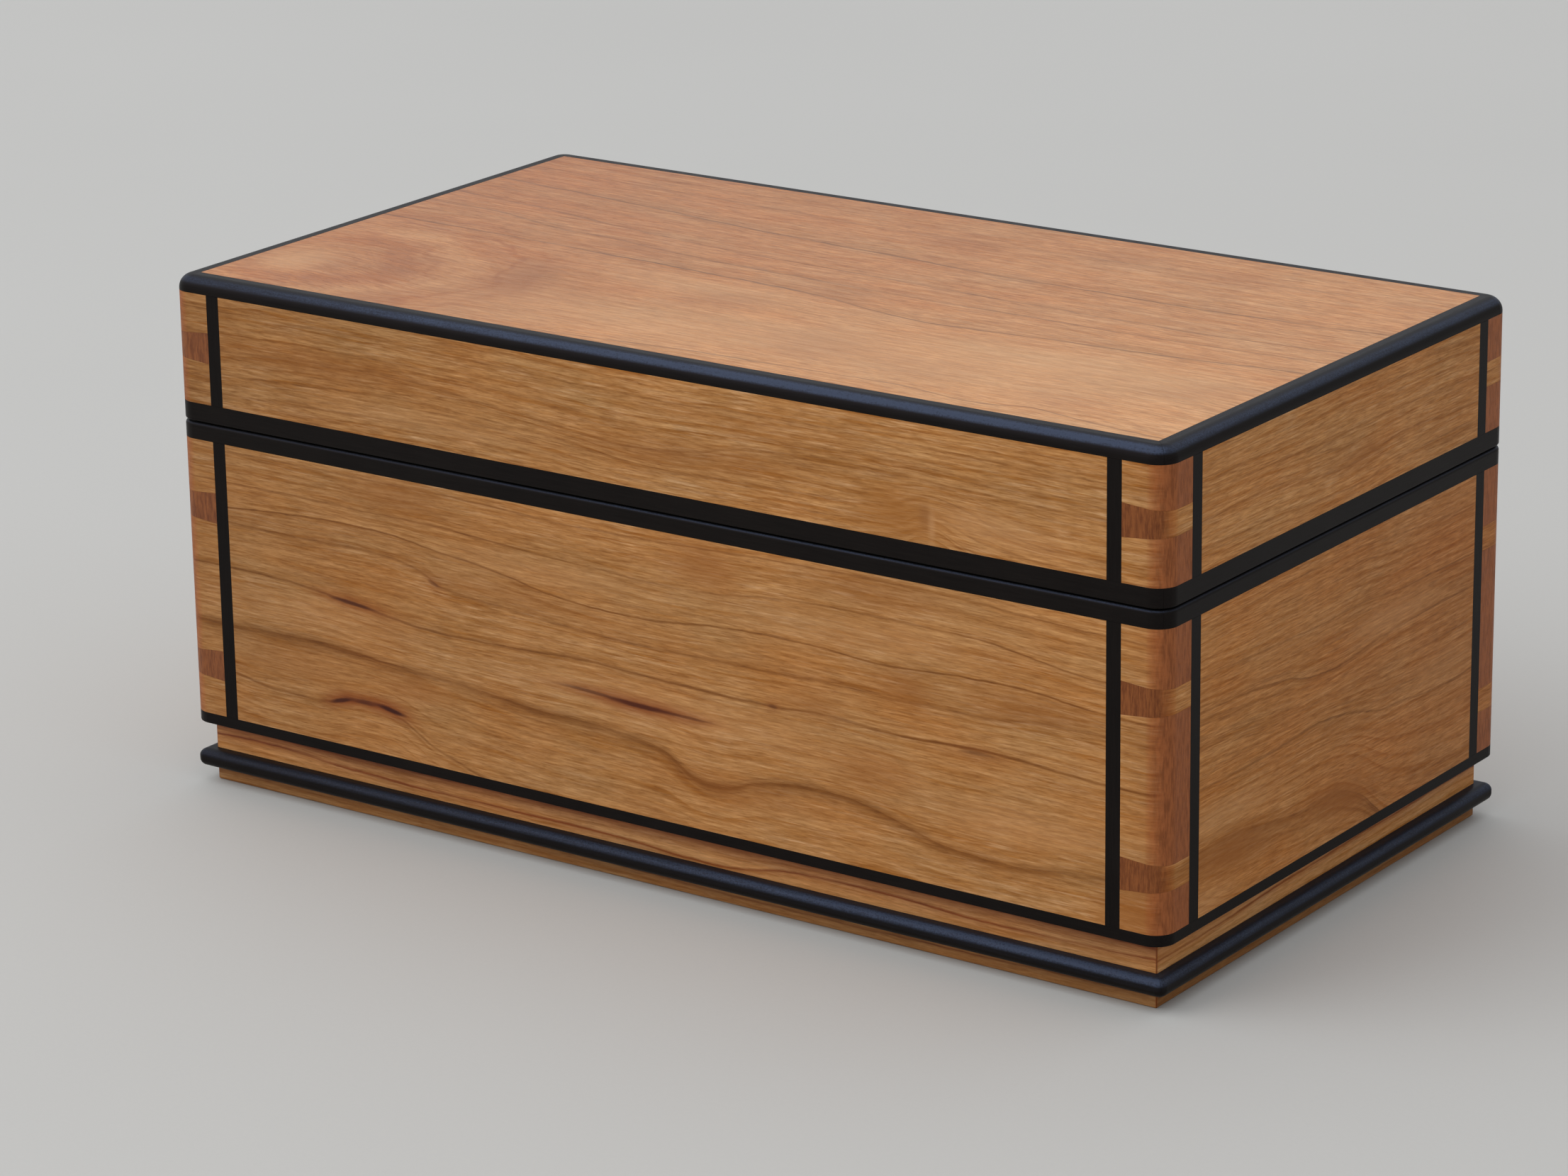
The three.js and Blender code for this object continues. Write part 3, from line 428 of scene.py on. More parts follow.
FACE_SPAN, SIDE_SPAN = (-140.0, 140.0), (-77.0, 77.0)
PLINTH_LIGHT, PLINTH_DEEP, PLINTH_LINE = (0.668, 0.330, 0.122), (0.466, 0.178, 0.040), (0.260, 0.060, 0.010)
cherry = {
    "box_front": board(
        "cherry_box_front", "x", "z", FRONT_LINES, FACE_SPAN, 100.0, seed=2.0, ends=TAIL_ENDS, gloss=0.20, fibre=1.2, layers=(3.0, 0.26),
        # tone: painted shade, darker towards the left end and across the rounded right corner
        tone=[("u", -140.0, 10.0, (0.80, 0.79, 0.78), (0.975, 0.985, 1.0)), ("u", 131.0, 136.5, (1.0, 1.0, 1.0), (0.91, 0.86, 0.84))],
        streaks=[
            (-1, 45.7, 9.5, 0.50, -0.022, 0.92), (-15, 46.4, 9.0, 0.34, -0.035, 0.45), (12, 45.4, 6.0, 0.30, -0.02, 0.40),
            (-87, 55.4, 6.5, 0.42, -0.09, 0.62), (-84, 31.0, 6.2, 0.50, 0.0, 0.66), (-91.5, 30.0, 3.2, 0.45, 0.26, 0.72),
            (-76, 30.4, 4.0, 0.50, -0.16, 0.78), (-61.5, 64.8, 1.6, 0.40, -0.3, 0.35), (92, 52.0, 4.5, 0.40, 0.0, 0.30),
            (36.5, 52.7, 1.2, 0.40, 0.0, 0.34),
        ],
        patches=[
            (-72, 84, 12, 4, 0, 0.45), (17, 82.5, 9, 5, 0, 0.51), (65, 84.5, 20, 3.6, 0, 0.36), (48, 55, 7, 3, 0, 0.39), (73, 64, 7, 4, 0, 0.45),
            (64, 42, 9, 4, 0.1, 0.39), (-68, 36.5, 9, 3, 0, 0.43), (-108, 37, 16, 4, 0, 0.32), (30, 30, 20, 3.5, 0, 0.30), (104, 64, 14, 3.5, 0.05, 0.39),
            (-40, 66.0, 24, 2.2, -0.05, 0.28), (8, 46, 40, 5, 0, -0.20), (104, 37, 24, 4, 0, -0.25), (-100, 51, 30, 4, 0, -0.18),
            (131.5, 22.5, 7, 6, 0, 0.57), (60, 74, 34, 3.2, 0, -0.23), (-30, 73, 26, 2.6, 0, -0.21),
        ],
    ),
    "box_back": board("cherry_box_back", "x", "z", FRONT_LINES, FACE_SPAN, 100.0, seed=31.0, flip=(-1, -1), lift=107.5, ends=TAIL_ENDS, layers=(3.0, 0.28), patches=[(40, 60, 14, 5, 0, 0.4), (-60, 34, 18, 5, 0, 0.35), (-20, 80, 22, 4, 0, -0.25)]),
    "box_right": board(
        # light and deep colours less blue than the front's: painted shade of this side; tone: painted shade, darker
        # towards the back
        "cherry_box_right", "y", "z", SIDE_LINES, SIDE_SPAN, 100.0, seed=5.0, ends=PIN_ENDS, fibre=1.4, hairs=1.8, flecks=0.5, light=(0.550, 0.243, 0.075), deep=(0.358, 0.118, 0.016), gloss=0.12, layers=(2.6, 0.34),
        tone=[("u", -60.0, 20.0, (1.01, 1.04, 1.04), (0.90, 0.86, 0.81)), ("u", 20.0, 60.0, (1.0, 1.0, 1.0), (0.955, 0.945, 0.95))],
        patches=[(-48, 30, 18, 4.8, -0.04, 0.62), (1, 27.6, 13, 4.2, -0.16, 0.62), (-52, 40, 18, 3, 0, -0.3), (25, 65, 16, 3, 0, -0.3), (50, 47, 12, 4, 0, -0.2), (-60, 21, 10, 3, 0, -0.3)],
    ),
    "box_left": board("cherry_box_left", "y", "z", SIDE_LINES, SIDE_SPAN, 100.0, seed=41.0, flip=(-1, -1), lift=107.5, ends=PIN_ENDS, layers=(2.6, 0.34)),
    "lid_front": board(
        "cherry_lid_front", "x", "z", LID_FRONT_LINES, FACE_SPAN, 140.0, seed=8.0, fibre=1.3, wisps=0.8, hairs=1.5, flecks=1.2, ends=TAIL_ENDS, gloss=0.20, layers=(2.4, 0.34),
        # tone: painted shade, darker towards the left end and across the rounded right corner
        tone=[("u", -140.0, 20.0, (0.74, 0.73, 0.715), (0.975, 0.985, 0.99)), ("u", 131.0, 136.5, (1.0, 1.0, 1.0), (0.91, 0.86, 0.84))],
        knots=[(78.3, 103.4, 2.0)], patches=[(15, 108, 26, 3.2, 0.05, 0.36), (-95, 113, 30, 3, 0, 0.28), (30, 118, 24, 2.6, 0, 0.22), (100, 104, 16, 3, -0.1, -0.3), (-60, 104, 30, 2.4, 0, -0.22)],
    ),
    "lid_back": board("cherry_lid_back", "x", "z", LID_FRONT_LINES, FACE_SPAN, 140.0, seed=51.0, flip=(-1, 1), fibre=1.1, hairs=1.3, ends=TAIL_ENDS, layers=(2.4, 0.34)),
    # light and deep colours less blue than the front's: painted shade of this side; tone: painted shade, darker towards
    # the back
    "lid_right": board("cherry_lid_right", "y", "z", LID_SIDE_LINES, SIDE_SPAN, 140.0, seed=13.0, fibre=1.4, wisps=0.8, hairs=1.6, ends=PIN_ENDS, layers=(2.4, 0.34), light=(0.566, 0.268, 0.090), deep=(0.376, 0.130, 0.020), gloss=0.12, tone=[("u", -60.0, 60.0, (1.01, 1.03, 1.02), (0.90, 0.88, 0.84))], patches=[(5, 107.5, 12, 3, 0, 0.32)]),
    "lid_left": board("cherry_lid_left", "y", "z", LID_SIDE_LINES, SIDE_SPAN, 140.0, seed=61.0, flip=(-1, 1), fibre=1.1, hairs=1.4, ends=PIN_ENDS, layers=(2.4, 0.34)),
    "top": board(
        "cherry_top", "x", "y", TOP_LINES, FACE_SPAN, 160.0, seed=19.0, lift=76.8, fibre=1.45, wisps=0.80, flecks=0.30, hairs=0.75, wobble=0.4, gloss=0.42,
        light=(0.590, 0.275, 0.096), deep=(0.405, 0.130, 0.017), dark=(0.235, 0.088, 0.017), lean=(-0.0008, 0.0006),
        # tone: painted light and shade, darker towards the left and the back, lighter towards the front and right
        tone=[("u", -135.0, 90.0, (0.895, 0.81, 0.725), (1.035, 1.05, 1.08)), ("v", 0.0, 90.0, (1.09, 1.13, 1.16), (0.965, 0.96, 0.975))],
        patches=[
            (28, 30, 13, 10, 0, 0.40), (-12, 52, 8, 6, 0, 0.38), (-20, 45, 6, 4, 0, 0.28), (60, 24, 14, 6, 0, 0.26), (100, 21, 12, 5, 0, 0.26),
            (5, 126, 12, 6, 0, 0.34), (-58, 80, 11, 3.4, -0.15, 0.42), (46, 135, 9, 8, 0, 0.28), (80, 131, 12, 5, 0, 0.30), (-49, 141, 3.4, 3.4, 0, 0.30),
            (8, 73, 12, 7, 0, 0.24), (122, 42, 9, 6, 0.4, 0.32), (-66, 43, 8, 12, -1.1, 0.55), (-22, 58, 26, 7, 0, -0.30), (96, 48, 34, 9, 0, -0.30),
            (-82, 26, 36, 30, 0, 0.36), (-123, 27, 8, 9, 0, -0.50), (-112, 25, 3, 3, 0, 0.35), (-84, 8, 7, 7, 0, 0.34), (-20, 25, 40, 12, 0, -0.26), (55, 34, 62, 18, 0, -0.32),
        ],
        arch=(-117.0, 31.0, 0.86, 30.0, 52.0), rings=[(18.0, 8.0, 0.58), (31.0, 6.5, -0.50), (24.5, 1.3, 0.22), (40.5, 1.5, 0.55), (48.0, 2.2, 0.22)],
    ),
    # tone: painted shade, darker below the bead and darker and redder up under the base string's overhang
    "plinth_x": board("cherry_plinth_front", "x", "z", PLINTH_LINES, FACE_SPAN, 40.0, seed=71.0, light=PLINTH_LIGHT, deep=PLINTH_DEEP, dark=PLINTH_LINE, wisps=1.3, layers=(2.1, 0.38), mitres=HX - PLINTH_SET - 0.06, tone=[("v", 3.4, 4.6, (0.60, 0.57, 0.50), (1.0, 1.0, 1.0)), ("v", 11.0, 14.5, (1.0, 1.0, 1.0), (0.50, 0.30, 0.21))]),
    # tone: painted shade, darker below the bead and darker up under the base string's overhang
    "plinth_y": board("cherry_plinth_side", "y", "z", PLINTH_SIDE_LINES, FACE_SPAN, 40.0, seed=83.0, light=PLINTH_LIGHT, deep=PLINTH_DEEP, dark=PLINTH_LINE, wisps=1.3, gloss=0.12, layers=(2.1, 0.38), mitres=HY - PLINTH_SET - 0.06, tone=[("v", 3.4, 4.6, (0.50, 0.46, 0.40), (1.0, 1.0, 1.0)), ("v", 10.5, 14.8, (1.0, 1.0, 1.0), (0.84, 0.78, 0.78))]),
}


def ebony(name, along, sheen_share=1.0):
    m, g, shader = material(name)
    coords = g.node("ShaderNodeTexCoord")
    p = g.split(coords.outputs["Object"])
    scale = [1000.0 * (0.05 if a == along else 1.0) for a in "xyz"]
    q = g.xyz(*(g.mul(p[i], scale[i]) for i in range(3)))
    fibres = g.noise(q, 2.4, 3.0, 0.65)
    dust = g.noise(coords.outputs["Object"], 2600.0, 2.0, 0.6)
    cloud = g.noise(coords.outputs["Object"], 60.0, 2.0, 0.5)
    tone = g.add(g.mul(g.sub(fibres, 0.5), 1.4), g.mul(g.sub(cloud, 0.5), 0.8), 0.5)
    colour = g.mix(g.math("MAXIMUM", g.math("MINIMUM", tone, 1.0), 0.0), (0.0062, 0.0050, 0.0038), (0.0112, 0.0090, 0.0070))
    # painted sheen: a blue-grey highlight painted into the colour of the rounded arrises, standing in for the sky's
    # reflection most on the front and towards its right, least on the sides, as that reflection falls
    facing = g.split(coords.outputs["Normal"])
    rise = facing[2]
    painted_sheen = g.mul(g.fit(rise, 0.46, 0.72, 0.0, 1.0, smooth=True), g.fit(rise, 0.84, 1.0, 1.0, 0.05, smooth=True))
    # the bead low down gets more of the painted sheen, and it fades more slowly
    low = g.math("LESS_THAN", p[2], 0.012)
    bead = g.mul(g.fit(rise, -0.12, 0.78, 0.0, 1.0, smooth=True), g.fit(rise, 0.90, 1.0, 1.0, 0.30, smooth=True))
    bead = g.mul(bead, g.fit(p[0], 0.0, 0.10, 0.55, 0.88))
    painted_sheen = g.add(g.mul(painted_sheen, g.sub(1.0, low)), g.mul(bead, low))
    sideways = g.sub(g.math("ABSOLUTE", facing[0]), g.math("ABSOLUTE", facing[1]))
    painted_sheen = g.mul(g.mul(painted_sheen, g.fit(sideways, -0.25, 0.25, 1.0, 0.45)), g.fit(p[0], -0.125, 0.02, 0.42, 1.20))
    painted_sheen = g.mul(painted_sheen, g.fit(fibres, 0.3, 0.7, 0.75 * sheen_share, 1.25 * sheen_share))
    painted_sheen = g.mul(painted_sheen, g.fit(dust, 0.3, 0.7, 0.55, 1.45))
    # painted highlight: the sheen colour mixed into the base colour
    colour = g.mix(painted_sheen, colour, (0.0460, 0.0585, 0.0920))
    g.put(shader.inputs["Base Color"], colour)
    g.put(shader.inputs["Roughness"], g.add(0.40, g.mul(g.sub(fibres, 0.5), 0.25), g.mul(g.sub(dust, 0.5), 0.16)))
    shader.inputs["IOR"].default_value = 1.5
    shader.inputs["Specular IOR Level"].default_value = 0.07
    shader.inputs["Specular Tint"].default_value = (0.80, 0.70, 0.90, 1.0)
    bump = g.node("ShaderNodeBump")
    bump.inputs["Strength"].default_value = 0.20
    bump.inputs["Distance"].default_value = 0.00010
    g.put(bump.inputs["Height"], g.add(g.mul(fibres, 0.7), g.mul(dust, 0.5)))
    g.tree.links.new(bump.outputs[0], shader.inputs["Normal"])
    return m


EBONY = {a: ebony("ebony_along_" + a, a) for a in "xyz"}
# the rims' ebony, with less painted sheen on its arrises
RIM_EBONY = {a: ebony("ebony_rim_along_" + a, a, 0.42) for a in "xy"}


def cedar(name, along):
    m, g, shader = material(name)
    coords = g.node("ShaderNodeTexCoord")
    p = g.split(coords.outputs["Object"])
    mm = {a: g.mul(p[i], 1000.0) for i, a in enumerate("xyz")}
    other = [a for a in "xyz" if a != along]
    bend = g.noise(coords.outputs["Object"], 14.0, 2.0, 0.5)
    u = mm[along]
    v = g.add(mm[other[0]], mm[other[1]], g.mul(g.sub(bend, 0.5), 22.0))
    bands = g.noise(g.xyz(g.mul(u, 0.004), g.mul(v, 0.30), 1.0), 1.0, 3.0, 0.6)
    rings = g.math("PINGPONG", g.add(g.mul(v, 0.20), g.mul(bands, 1.6)), 0.5)
    fibres = g.noise(g.xyz(g.mul(u, 0.03), g.mul(v, 2.2), 4.0), 1.0, 3.0, 0.7)
    pores = g.noise(g.xyz(g.mul(u, 0.4), g.mul(v, 6.0), 9.0), 1.0, 1.0, 0.5)
    share = g.add(g.mul(g.math("POWER", g.mul(rings, 2.0), 3.0), 0.45), g.mul(g.sub(fibres, 0.5), 1.2), g.mul(g.sub(bands, 0.5), 0.9), 0.25)
    colour = g.mix(g.math("MAXIMUM", g.math("MINIMUM", share, 1.0), 0.0), (0.560, 0.320, 0.185), (0.330, 0.150, 0.080))
    shade = g.add(1.0, g.mul(g.fit(pores, 0.60, 0.75), -0.14))
    colour = g.mix(1.0, colour, g.xyz(shade, shade, shade), "MULTIPLY")
    g.put(shader.inputs["Base Color"], colour)
    g.put(shader.inputs["Roughness"], g.add(0.66, g.mul(g.sub(fibres, 0.5), 0.2)))
    shader.inputs["Specular IOR Level"].default_value = 0.3
    bump = g.node("ShaderNodeBump")
    bump.inputs["Strength"].default_value = 0.35
    bump.inputs["Distance"].default_value = 0.00015
    g.put(bump.inputs["Height"], fibres)
    g.tree.links.new(bump.outputs[0], shader.inputs["Normal"])
    return m


CEDAR = {a: cedar("cedar_along_" + a, a) for a in "xy"}


def brass(name):
    m, g, shader = material(name)
    coords = g.node("ShaderNodeTexCoord")
    p = g.split(coords.outputs["Object"])
    q = g.xyz(g.mul(p[0], 200.0), g.mul(p[1], 9000.0), g.mul(p[2], 9000.0))
    brushed = g.noise(q, 1.0, 3.0, 0.7)
    tarnish = g.noise(coords.outputs["Object"], 140.0, 3.0, 0.6)
    colour = g.mix(g.fit(tarnish, 0.35, 0.7), (0.80, 0.57, 0.24), (0.58, 0.36, 0.13))
    shade = g.fit(brushed, 0.2, 0.8, 0.88, 1.06)
    colour = g.mix(1.0, colour, g.xyz(shade, shade, shade), "MULTIPLY")
    g.put(shader.inputs["Base Color"], colour)
    shader.inputs["Metallic"].default_value = 1.0
    g.put(shader.inputs["Roughness"], g.add(g.fit(tarnish, 0.3, 0.7, 0.24, 0.42), g.mul(g.sub(brushed, 0.5), 0.14)))
    bump = g.node("ShaderNodeBump")
    bump.inputs["Strength"].default_value = 0.15
    bump.inputs["Distance"].default_value = 0.00006
    g.put(bump.inputs["Height"], brushed)
    g.tree.links.new(bump.outputs[0], shader.inputs["Normal"])
    return m


BRASS = brass("brass_brushed")


# ------------------------------------------------------------------ meshes
def new_object(name, verts, faces):
    mesh = bpy.data.meshes.new(name)
    bm = bmesh.new()
    made = [bm.verts.new(Vector(v) * MM) for v in verts]
    for f in faces:
        bm.faces.new([made[i] for i in f])
    bmesh.ops.remove_doubles(bm, verts=bm.verts, dist=1e-7)
    bmesh.ops.recalc_face_normals(bm, faces=bm.faces)
    bm.to_mesh(mesh)
    bm.free()
    o = bpy.data.objects.new(name, mesh)
    scene.collection.objects.link(o)
    return o


def prism(points, low, high, axes="xyz"):
    """A closed outline in the first two axes, run from low to high along the third."""
    order = ["xyz".index(a) for a in axes]

    def at(a, b, c):
        p = [0.0, 0.0, 0.0]
        p[order[0]], p[order[1]], p[order[2]] = a, b, c
        return p

    n = len(points)
    verts = [at(a, b, low) for a, b in points] + [at(a, b, high) for a, b in points]
    faces = [list(range(n)), list(range(n, 2 * n))]
    faces += [[i, (i + 1) % n, n + (i + 1) % n, n + i] for i in range(n)]
    return verts, faces


def together(*solids):
    verts, faces = [], []
    for v, f in solids:
        k = len(verts)
        verts += v
        faces += [[i + k for i in face] for face in f]
    return verts, faces


def block(x0, x1, y0, y1, z0, z1):
    return prism([(x0, y0), (x1, y0), (x1, y1), (x0, y1)], z0, z1)


def rod(radius, x0, x1, y, z, n=56):
    points = [(y + radius * math.cos(2 * math.pi * i / n), z + radius * math.sin(2 * math.pi * i / n)) for i in range(n)]
    return prism(points, x0, x1, "yzx")


def turned(outline, x, y, n=40):
    """A solid of revolution about an upright line: outline is (radius, z) from the axis round to the axis."""
    verts, faces, rings = [], [], []
    for r, z in outline:
        if r < 1e-6:
            rings.append([len(verts)])
            verts.append((x, y, z))
        else:
            rings.append(list(range(len(verts), len(verts) + n)))
            verts += [(x + r * math.cos(2 * math.pi * i / n), y + r * math.sin(2 * math.pi * i / n), z) for i in range(n)]
    for a, b in zip(rings, rings[1:]):
        for i in range(n):
            j = (i + 1) % n
            loop = [a[i % len(a)], a[j % len(a)], b[j % len(b)], b[i % len(b)]]
            face = [k for s, k in enumerate(loop) if k not in loop[:s]]
            if len(face) > 2:
                faces.append(face)
    return verts, faces


def boolean(o, solid, operation="DIFFERENCE"):
    tool = new_object("tool", *solid)
    mod = o.modifiers.new("cut", "BOOLEAN")
    mod.operation, mod.object, mod.solver = operation, tool, "EXACT"
    mesh = bpy.data.meshes.new_from_object(o.evaluated_get(bpy.context.evaluated_depsgraph_get()))
    o.modifiers.clear()
    old, o.data = o.data, mesh
    mesh.name = o.name
    bpy.data.meshes.remove(old)
    used = tool.data
    bpy.data.objects.remove(tool)
    bpy.data.meshes.remove(used)
    return o


def soften(o, chosen, width, segments=2):
    """Rounds the edges that chosen(edge, midpoint in mm) picks."""
    bm = bmesh.new()
    bm.from_mesh(o.data)
    edges = [e for e in bm.edges if chosen(e, (e.verts[0].co + e.verts[1].co) / 2 / MM)]
    bmesh.ops.bevel(bm, geom=edges, offset=width * MM, segments=segments, profile=0.5, affect="EDGES", clamp_overlap=True)
    bm.to_mesh(o.data)
    bm.free()
    return o


def piece(o, finish, body, slot, *nodes, angle=32.0):
    o.data.materials.clear()
    o.data.materials.append(finish)
    o.data.shade_smooth()
    o.data.set_sharp_from_angle(angle=math.radians(angle))
    normals = o.modifiers.new("normals", "WEIGHTED_NORMAL")
    normals.keep_sharp = True
    normals.weight = 90
    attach(o, body)
    if nodes:
        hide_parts(*nodes)
    return o


# ------------------------------------------------------------------ mitred frames, each side one swept section
def arc(cx, cz, r, a0, a1, n):
    """Section points (inward, z) on a quarter or half round; 0 degrees points outward, 90 up."""
    out = []
    for i in range(n + 1):
        a = math.radians(a0 + (a1 - a0) * i / n)
        out.append((cx - r * math.cos(a), cz + r * math.sin(a)))
    return out


def frame_side(name, side, section, hx, hy, radius, n=18, gap=GAP):
    """One side of a frame: its section, as (distance in from the outline, z), swept between the mitres at 45 degrees."""
    corners = {"front": ((-1, -1), (1, -1)), "right": ((1, -1), (1, 1)), "back": ((1, 1), (-1, 1)), "left": ((-1, 1), (-1, -1))}[side]
    middle = {"front": -90.0, "right": 0.0, "back": 90.0, "left": 180.0}[side]
    stations = []
    for k, (sx, sy) in enumerate(corners):
        for i in range(n + 1):
            a = middle - 45.0 + 45.0 * i / n if k == 0 else middle + 45.0 * i / n
            stations.append((sx, sy, math.radians(a), (k == 0 and i == 0) or (k == 1 and i == n), k))
    verts, faces = [], []
    m = len(section)
    for sx, sy, a, last, k in stations:
        cx, cy = sx * (hx - radius), sy * (hy - radius)
        along = {"front": (1, 0), "right": (0, 1), "back": (-1, 0), "left": (0, -1)}[side]
        push = (gap if k == 0 else -gap) if last else 0.0
        for d, z in section:
            if d <= radius:
                x, y = cx + (radius - d) * math.cos(a), cy + (radius - d) * math.sin(a)
            else:
                x, y = sx * (hx - d), sy * (hy - d)
            verts.append((x + along[0] * push, y + along[1] * push, z))
    for s in range(len(stations) - 1):
        for j in range(m):
            k = (j + 1) % m
            faces.append([s * m + j, s * m + k, (s + 1) * m + k, (s + 1) * m + j])
    faces.append(list(range(m)))
    faces.append([(len(stations) - 1) * m + j for j in range(m)])
    o = new_object(name, verts, faces)
    bm = bmesh.new()
    bm.from_mesh(o.data)
    bmesh.ops.dissolve_degenerate(bm, dist=1e-7, edges=bm.edges)
    bmesh.ops.recalc_face_normals(bm, faces=bm.faces)
    bm.to_mesh(o.data)
    bm.free()
    return o


SIDES = ("front", "back", "left", "right")
ALONG = {"front": "x", "back": "x", "left": "y", "right": "y"}

edging = (
    [(EDGING_W, LID_WOOD_TOP), (0.0, LID_WOOD_TOP)]
    + [(0.0, TOP - EDGING_R)]
    + arc(EDGING_R, TOP - EDGING_R, EDGING_R, 0, 90, 16)[1:]
    + [(EDGING_W, TOP)]
)
lid_rim = (
    [(WALL, LID_RIM_BOTTOM)]
    + list(reversed(arc(0.5, LID_RIM_BOTTOM + 0.5, 0.5, 0, -90, 5)))
    + [(0.0, LID_RIM_TOP - GAP), (WALL, LID_RIM_TOP - GAP)]
)
box_rim = (
    [(WALL, BOX_WOOD_TOP), (0.0, BOX_WOOD_TOP)]
    + arc(0.9, BOX_RIM_TOP - 0.9, 0.9, 0, 90, 7)
    + [(WALL, BOX_RIM_TOP)]
)
base_string = [(BASE_STRING_D, PLINTH_TOP)] + list(reversed(arc(0.25, PLINTH_TOP + 0.25, 0.25, 0, -90, 3))) + [(0.0, BASE_STRING_TOP - GAP), (BASE_STRING_D, BASE_STRING_TOP - GAP)]
BEAD_X, BEAD_Y = HX - 0.3, HY - 0.3
bead_back = BEAD_X - (HX - PLINTH_SET - 3.0)


def nose(deep, high, z, up, n=14):
    """Quarter of an ellipse on the bead's nose, from its upright middle to its flat."""
    out = []
    for i in range(n + 1):
        a = math.radians(90.0 * i / n)
        out.append((deep * (1 - math.cos(a)), z + (high * math.sin(a) if up else -high * math.sin(a))))
    return out


bead = (
    [(bead_back, BEAD_Z0)]
    + list(reversed(nose(1.9, 1.8, BEAD_Z0 + 1.8, False)))
    + nose(2.4, 1.8, BEAD_Z1 - 1.8, True)
    + [(bead_back, BEAD_Z1)]
)
PX, PY = HX - PLINTH_SET, HY - PLINTH_SET
plinth = (
    [(PLINTH_T, 0.0)]
    + list(reversed(arc(0.5, 0.5, 0.5, 0, -90, 4)))
    + [(0.0, BEAD_Z0 - GAP), (3.03, BEAD_Z0 - GAP), (3.03, BEAD_Z1 + GAP), (0.0, BEAD_Z1 + GAP), (0.0, PLINTH_TOP - 0.05), (PLINTH_T, PLINTH_TOP - 0.05)]
)


def screw_holes(z0, z1, dx):
    return [turned([(0, z0), (1.1, z0), (1.1, z1), (0, z1)], x + s * SCREW_X, AXIS_Y - SCREW_Y, 16) for x in HINGE_X.values() for s in dx]


for side in SIDES:
    piece(frame_side("lid_edging_" + side + "_fine", side, edging, HX, HY, CORNER_R), EBONY[ALONG[side]], "lid", "ebony", "lid_edging_" + side)
    for prefix, section, body in (("lid_rim_", lid_rim, "lid"), ("box_rim_", box_rim, "box")):
        o = frame_side(prefix + side + "_fine", side, section, HX, HY, CORNER_R)
        if side == "back":
            s = 1 if body == "lid" else -1
            for x in HINGE_X.values():
                low, high = sorted((AXIS_Z + s * (0.2 + LEAF_T + GAP), AXIS_Z - s * 2.0))
                boolean(o, block(x - LEAF_HALF - GAP, x + LEAF_HALF + GAP, AXIS_Y - LEAF_DEPTH - GAP, HY + 3, low, high))
                boolean(o, rod(KNUCKLE_R + 0.2, x - BARREL_HALF - 0.75, x + BARREL_HALF + 0.75, AXIS_Y, AXIS_Z))
            hole = (80.0, 93.0) if body == "box" else (93.4, 106.0)
            boolean(o, together(*screw_holes(hole[0], hole[1], (-1, 1))))
        piece(o, RIM_EBONY[ALONG[side]], body, "ebony", prefix + side)
    piece(frame_side("base_string_" + side + "_fine", side, base_string, HX, HY, CORNER_R), EBONY[ALONG[side]], "box", "ebony", "base_string_" + side)
    piece(frame_side("bead_" + side + "_fine", side, bead, BEAD_X, BEAD_Y, 2.2), EBONY[ALONG[side]], "box", "ebony", "bead_" + side)
    piece(frame_side("plinth_" + side + "_fine", side, plinth, PX, PY, 0.35, n=3, gap=0.05), cherry["plinth_" + ALONG[side]], "box", "cherry", "plinth_" + side)


# ------------------------------------------------------------------ dovetailed boards
def corner_arc(sx, sy, a0, a1, n=18):
    cx, cy = sx * (HX - CORNER_R), sy * (HY - CORNER_R)
    return [
        (cx + CORNER_R * math.cos(math.radians(a0 + (a1 - a0) * i / n)), cy + CORNER_R * math.sin(math.radians(a0 + (a1 - a0) * i / n)))
        for i in range(n + 1)
    ]


def pin_half(x, grow):
    """Half the height of a pin at x from the middle plane."""
    return PIN_IN / 2 + (PIN_OUT - PIN_IN) / 2 * (x - IX) / WALL + grow


def grooves(z0, z1):
    out = []
    for sx in (-1, 1):
        for sy in (-1, 1):
            a, b = sorted((sx * (FACE_STRING[0] - GAP), sx * (FACE_STRING[1] + GAP)))
            c, d = sorted((sy * (HY - STRING_T - GAP), sy * (HY + 1)))
            out.append(block(a, b, c, d, z0, z1))
            a, b = sorted((sx * (HX - STRING_T - GAP), sx * (HX + 1)))
            c, d = sorted((sy * (SIDE_STRING[0] - GAP), sy * (SIDE_STRING[1] + GAP)))
            out.append(block(a, b, c, d, z0, z1))
    return together(*out)


def tail_board(name, s, z0, z1, rebate):
    if s < 0:
        plan = [(-HX, -IY)] + corner_arc(-1, -1, 180, 270) + corner_arc(1, -1, 270, 360) + [(HX, -IY)]
    else:
        plan = [(HX, IY)] + corner_arc(1, 1, 0, 90) + corner_arc(-1, 1, 90, 180) + [(-HX, IY)]
    o = new_object(name, *prism(plan, z0, z1))
    cuts = []
    for z in PIN_Z:
        if z0 < z < z1:
            for sx in (-1, 1):
                xi, xo = IX - 0.02, HX + 2
                outline = [(sx * xi, z - pin_half(xi, GAP)), (sx * xo, z - pin_half(xo, GAP)), (sx * xo, z + pin_half(xo, GAP)), (sx * xi, z + pin_half(xi, GAP))]
                c, d = sorted((s * (IY - 1), s * (HY + 2)))
                cuts.append(prism(outline, c, d, "xzy"))
    boolean(o, together(*cuts))
    boolean(o, grooves(z0 - 1, z1 + 1))
    if rebate:
        e = BASE_STRING_D + GAP
        u = [(-HX - 2, s * (IY - 1)), (-HX - 2, s * (HY + 2)), (HX + 2, s * (HY + 2)), (HX + 2, s * (IY - 1)), (HX - e, s * (IY - 1)), (HX - e, s * (HY - e)), (-HX + e, s * (HY - e)), (-HX + e, s * (IY - 1))]
        boolean(o, prism(u, z0 - 1, BASE_STRING_TOP))
    return o


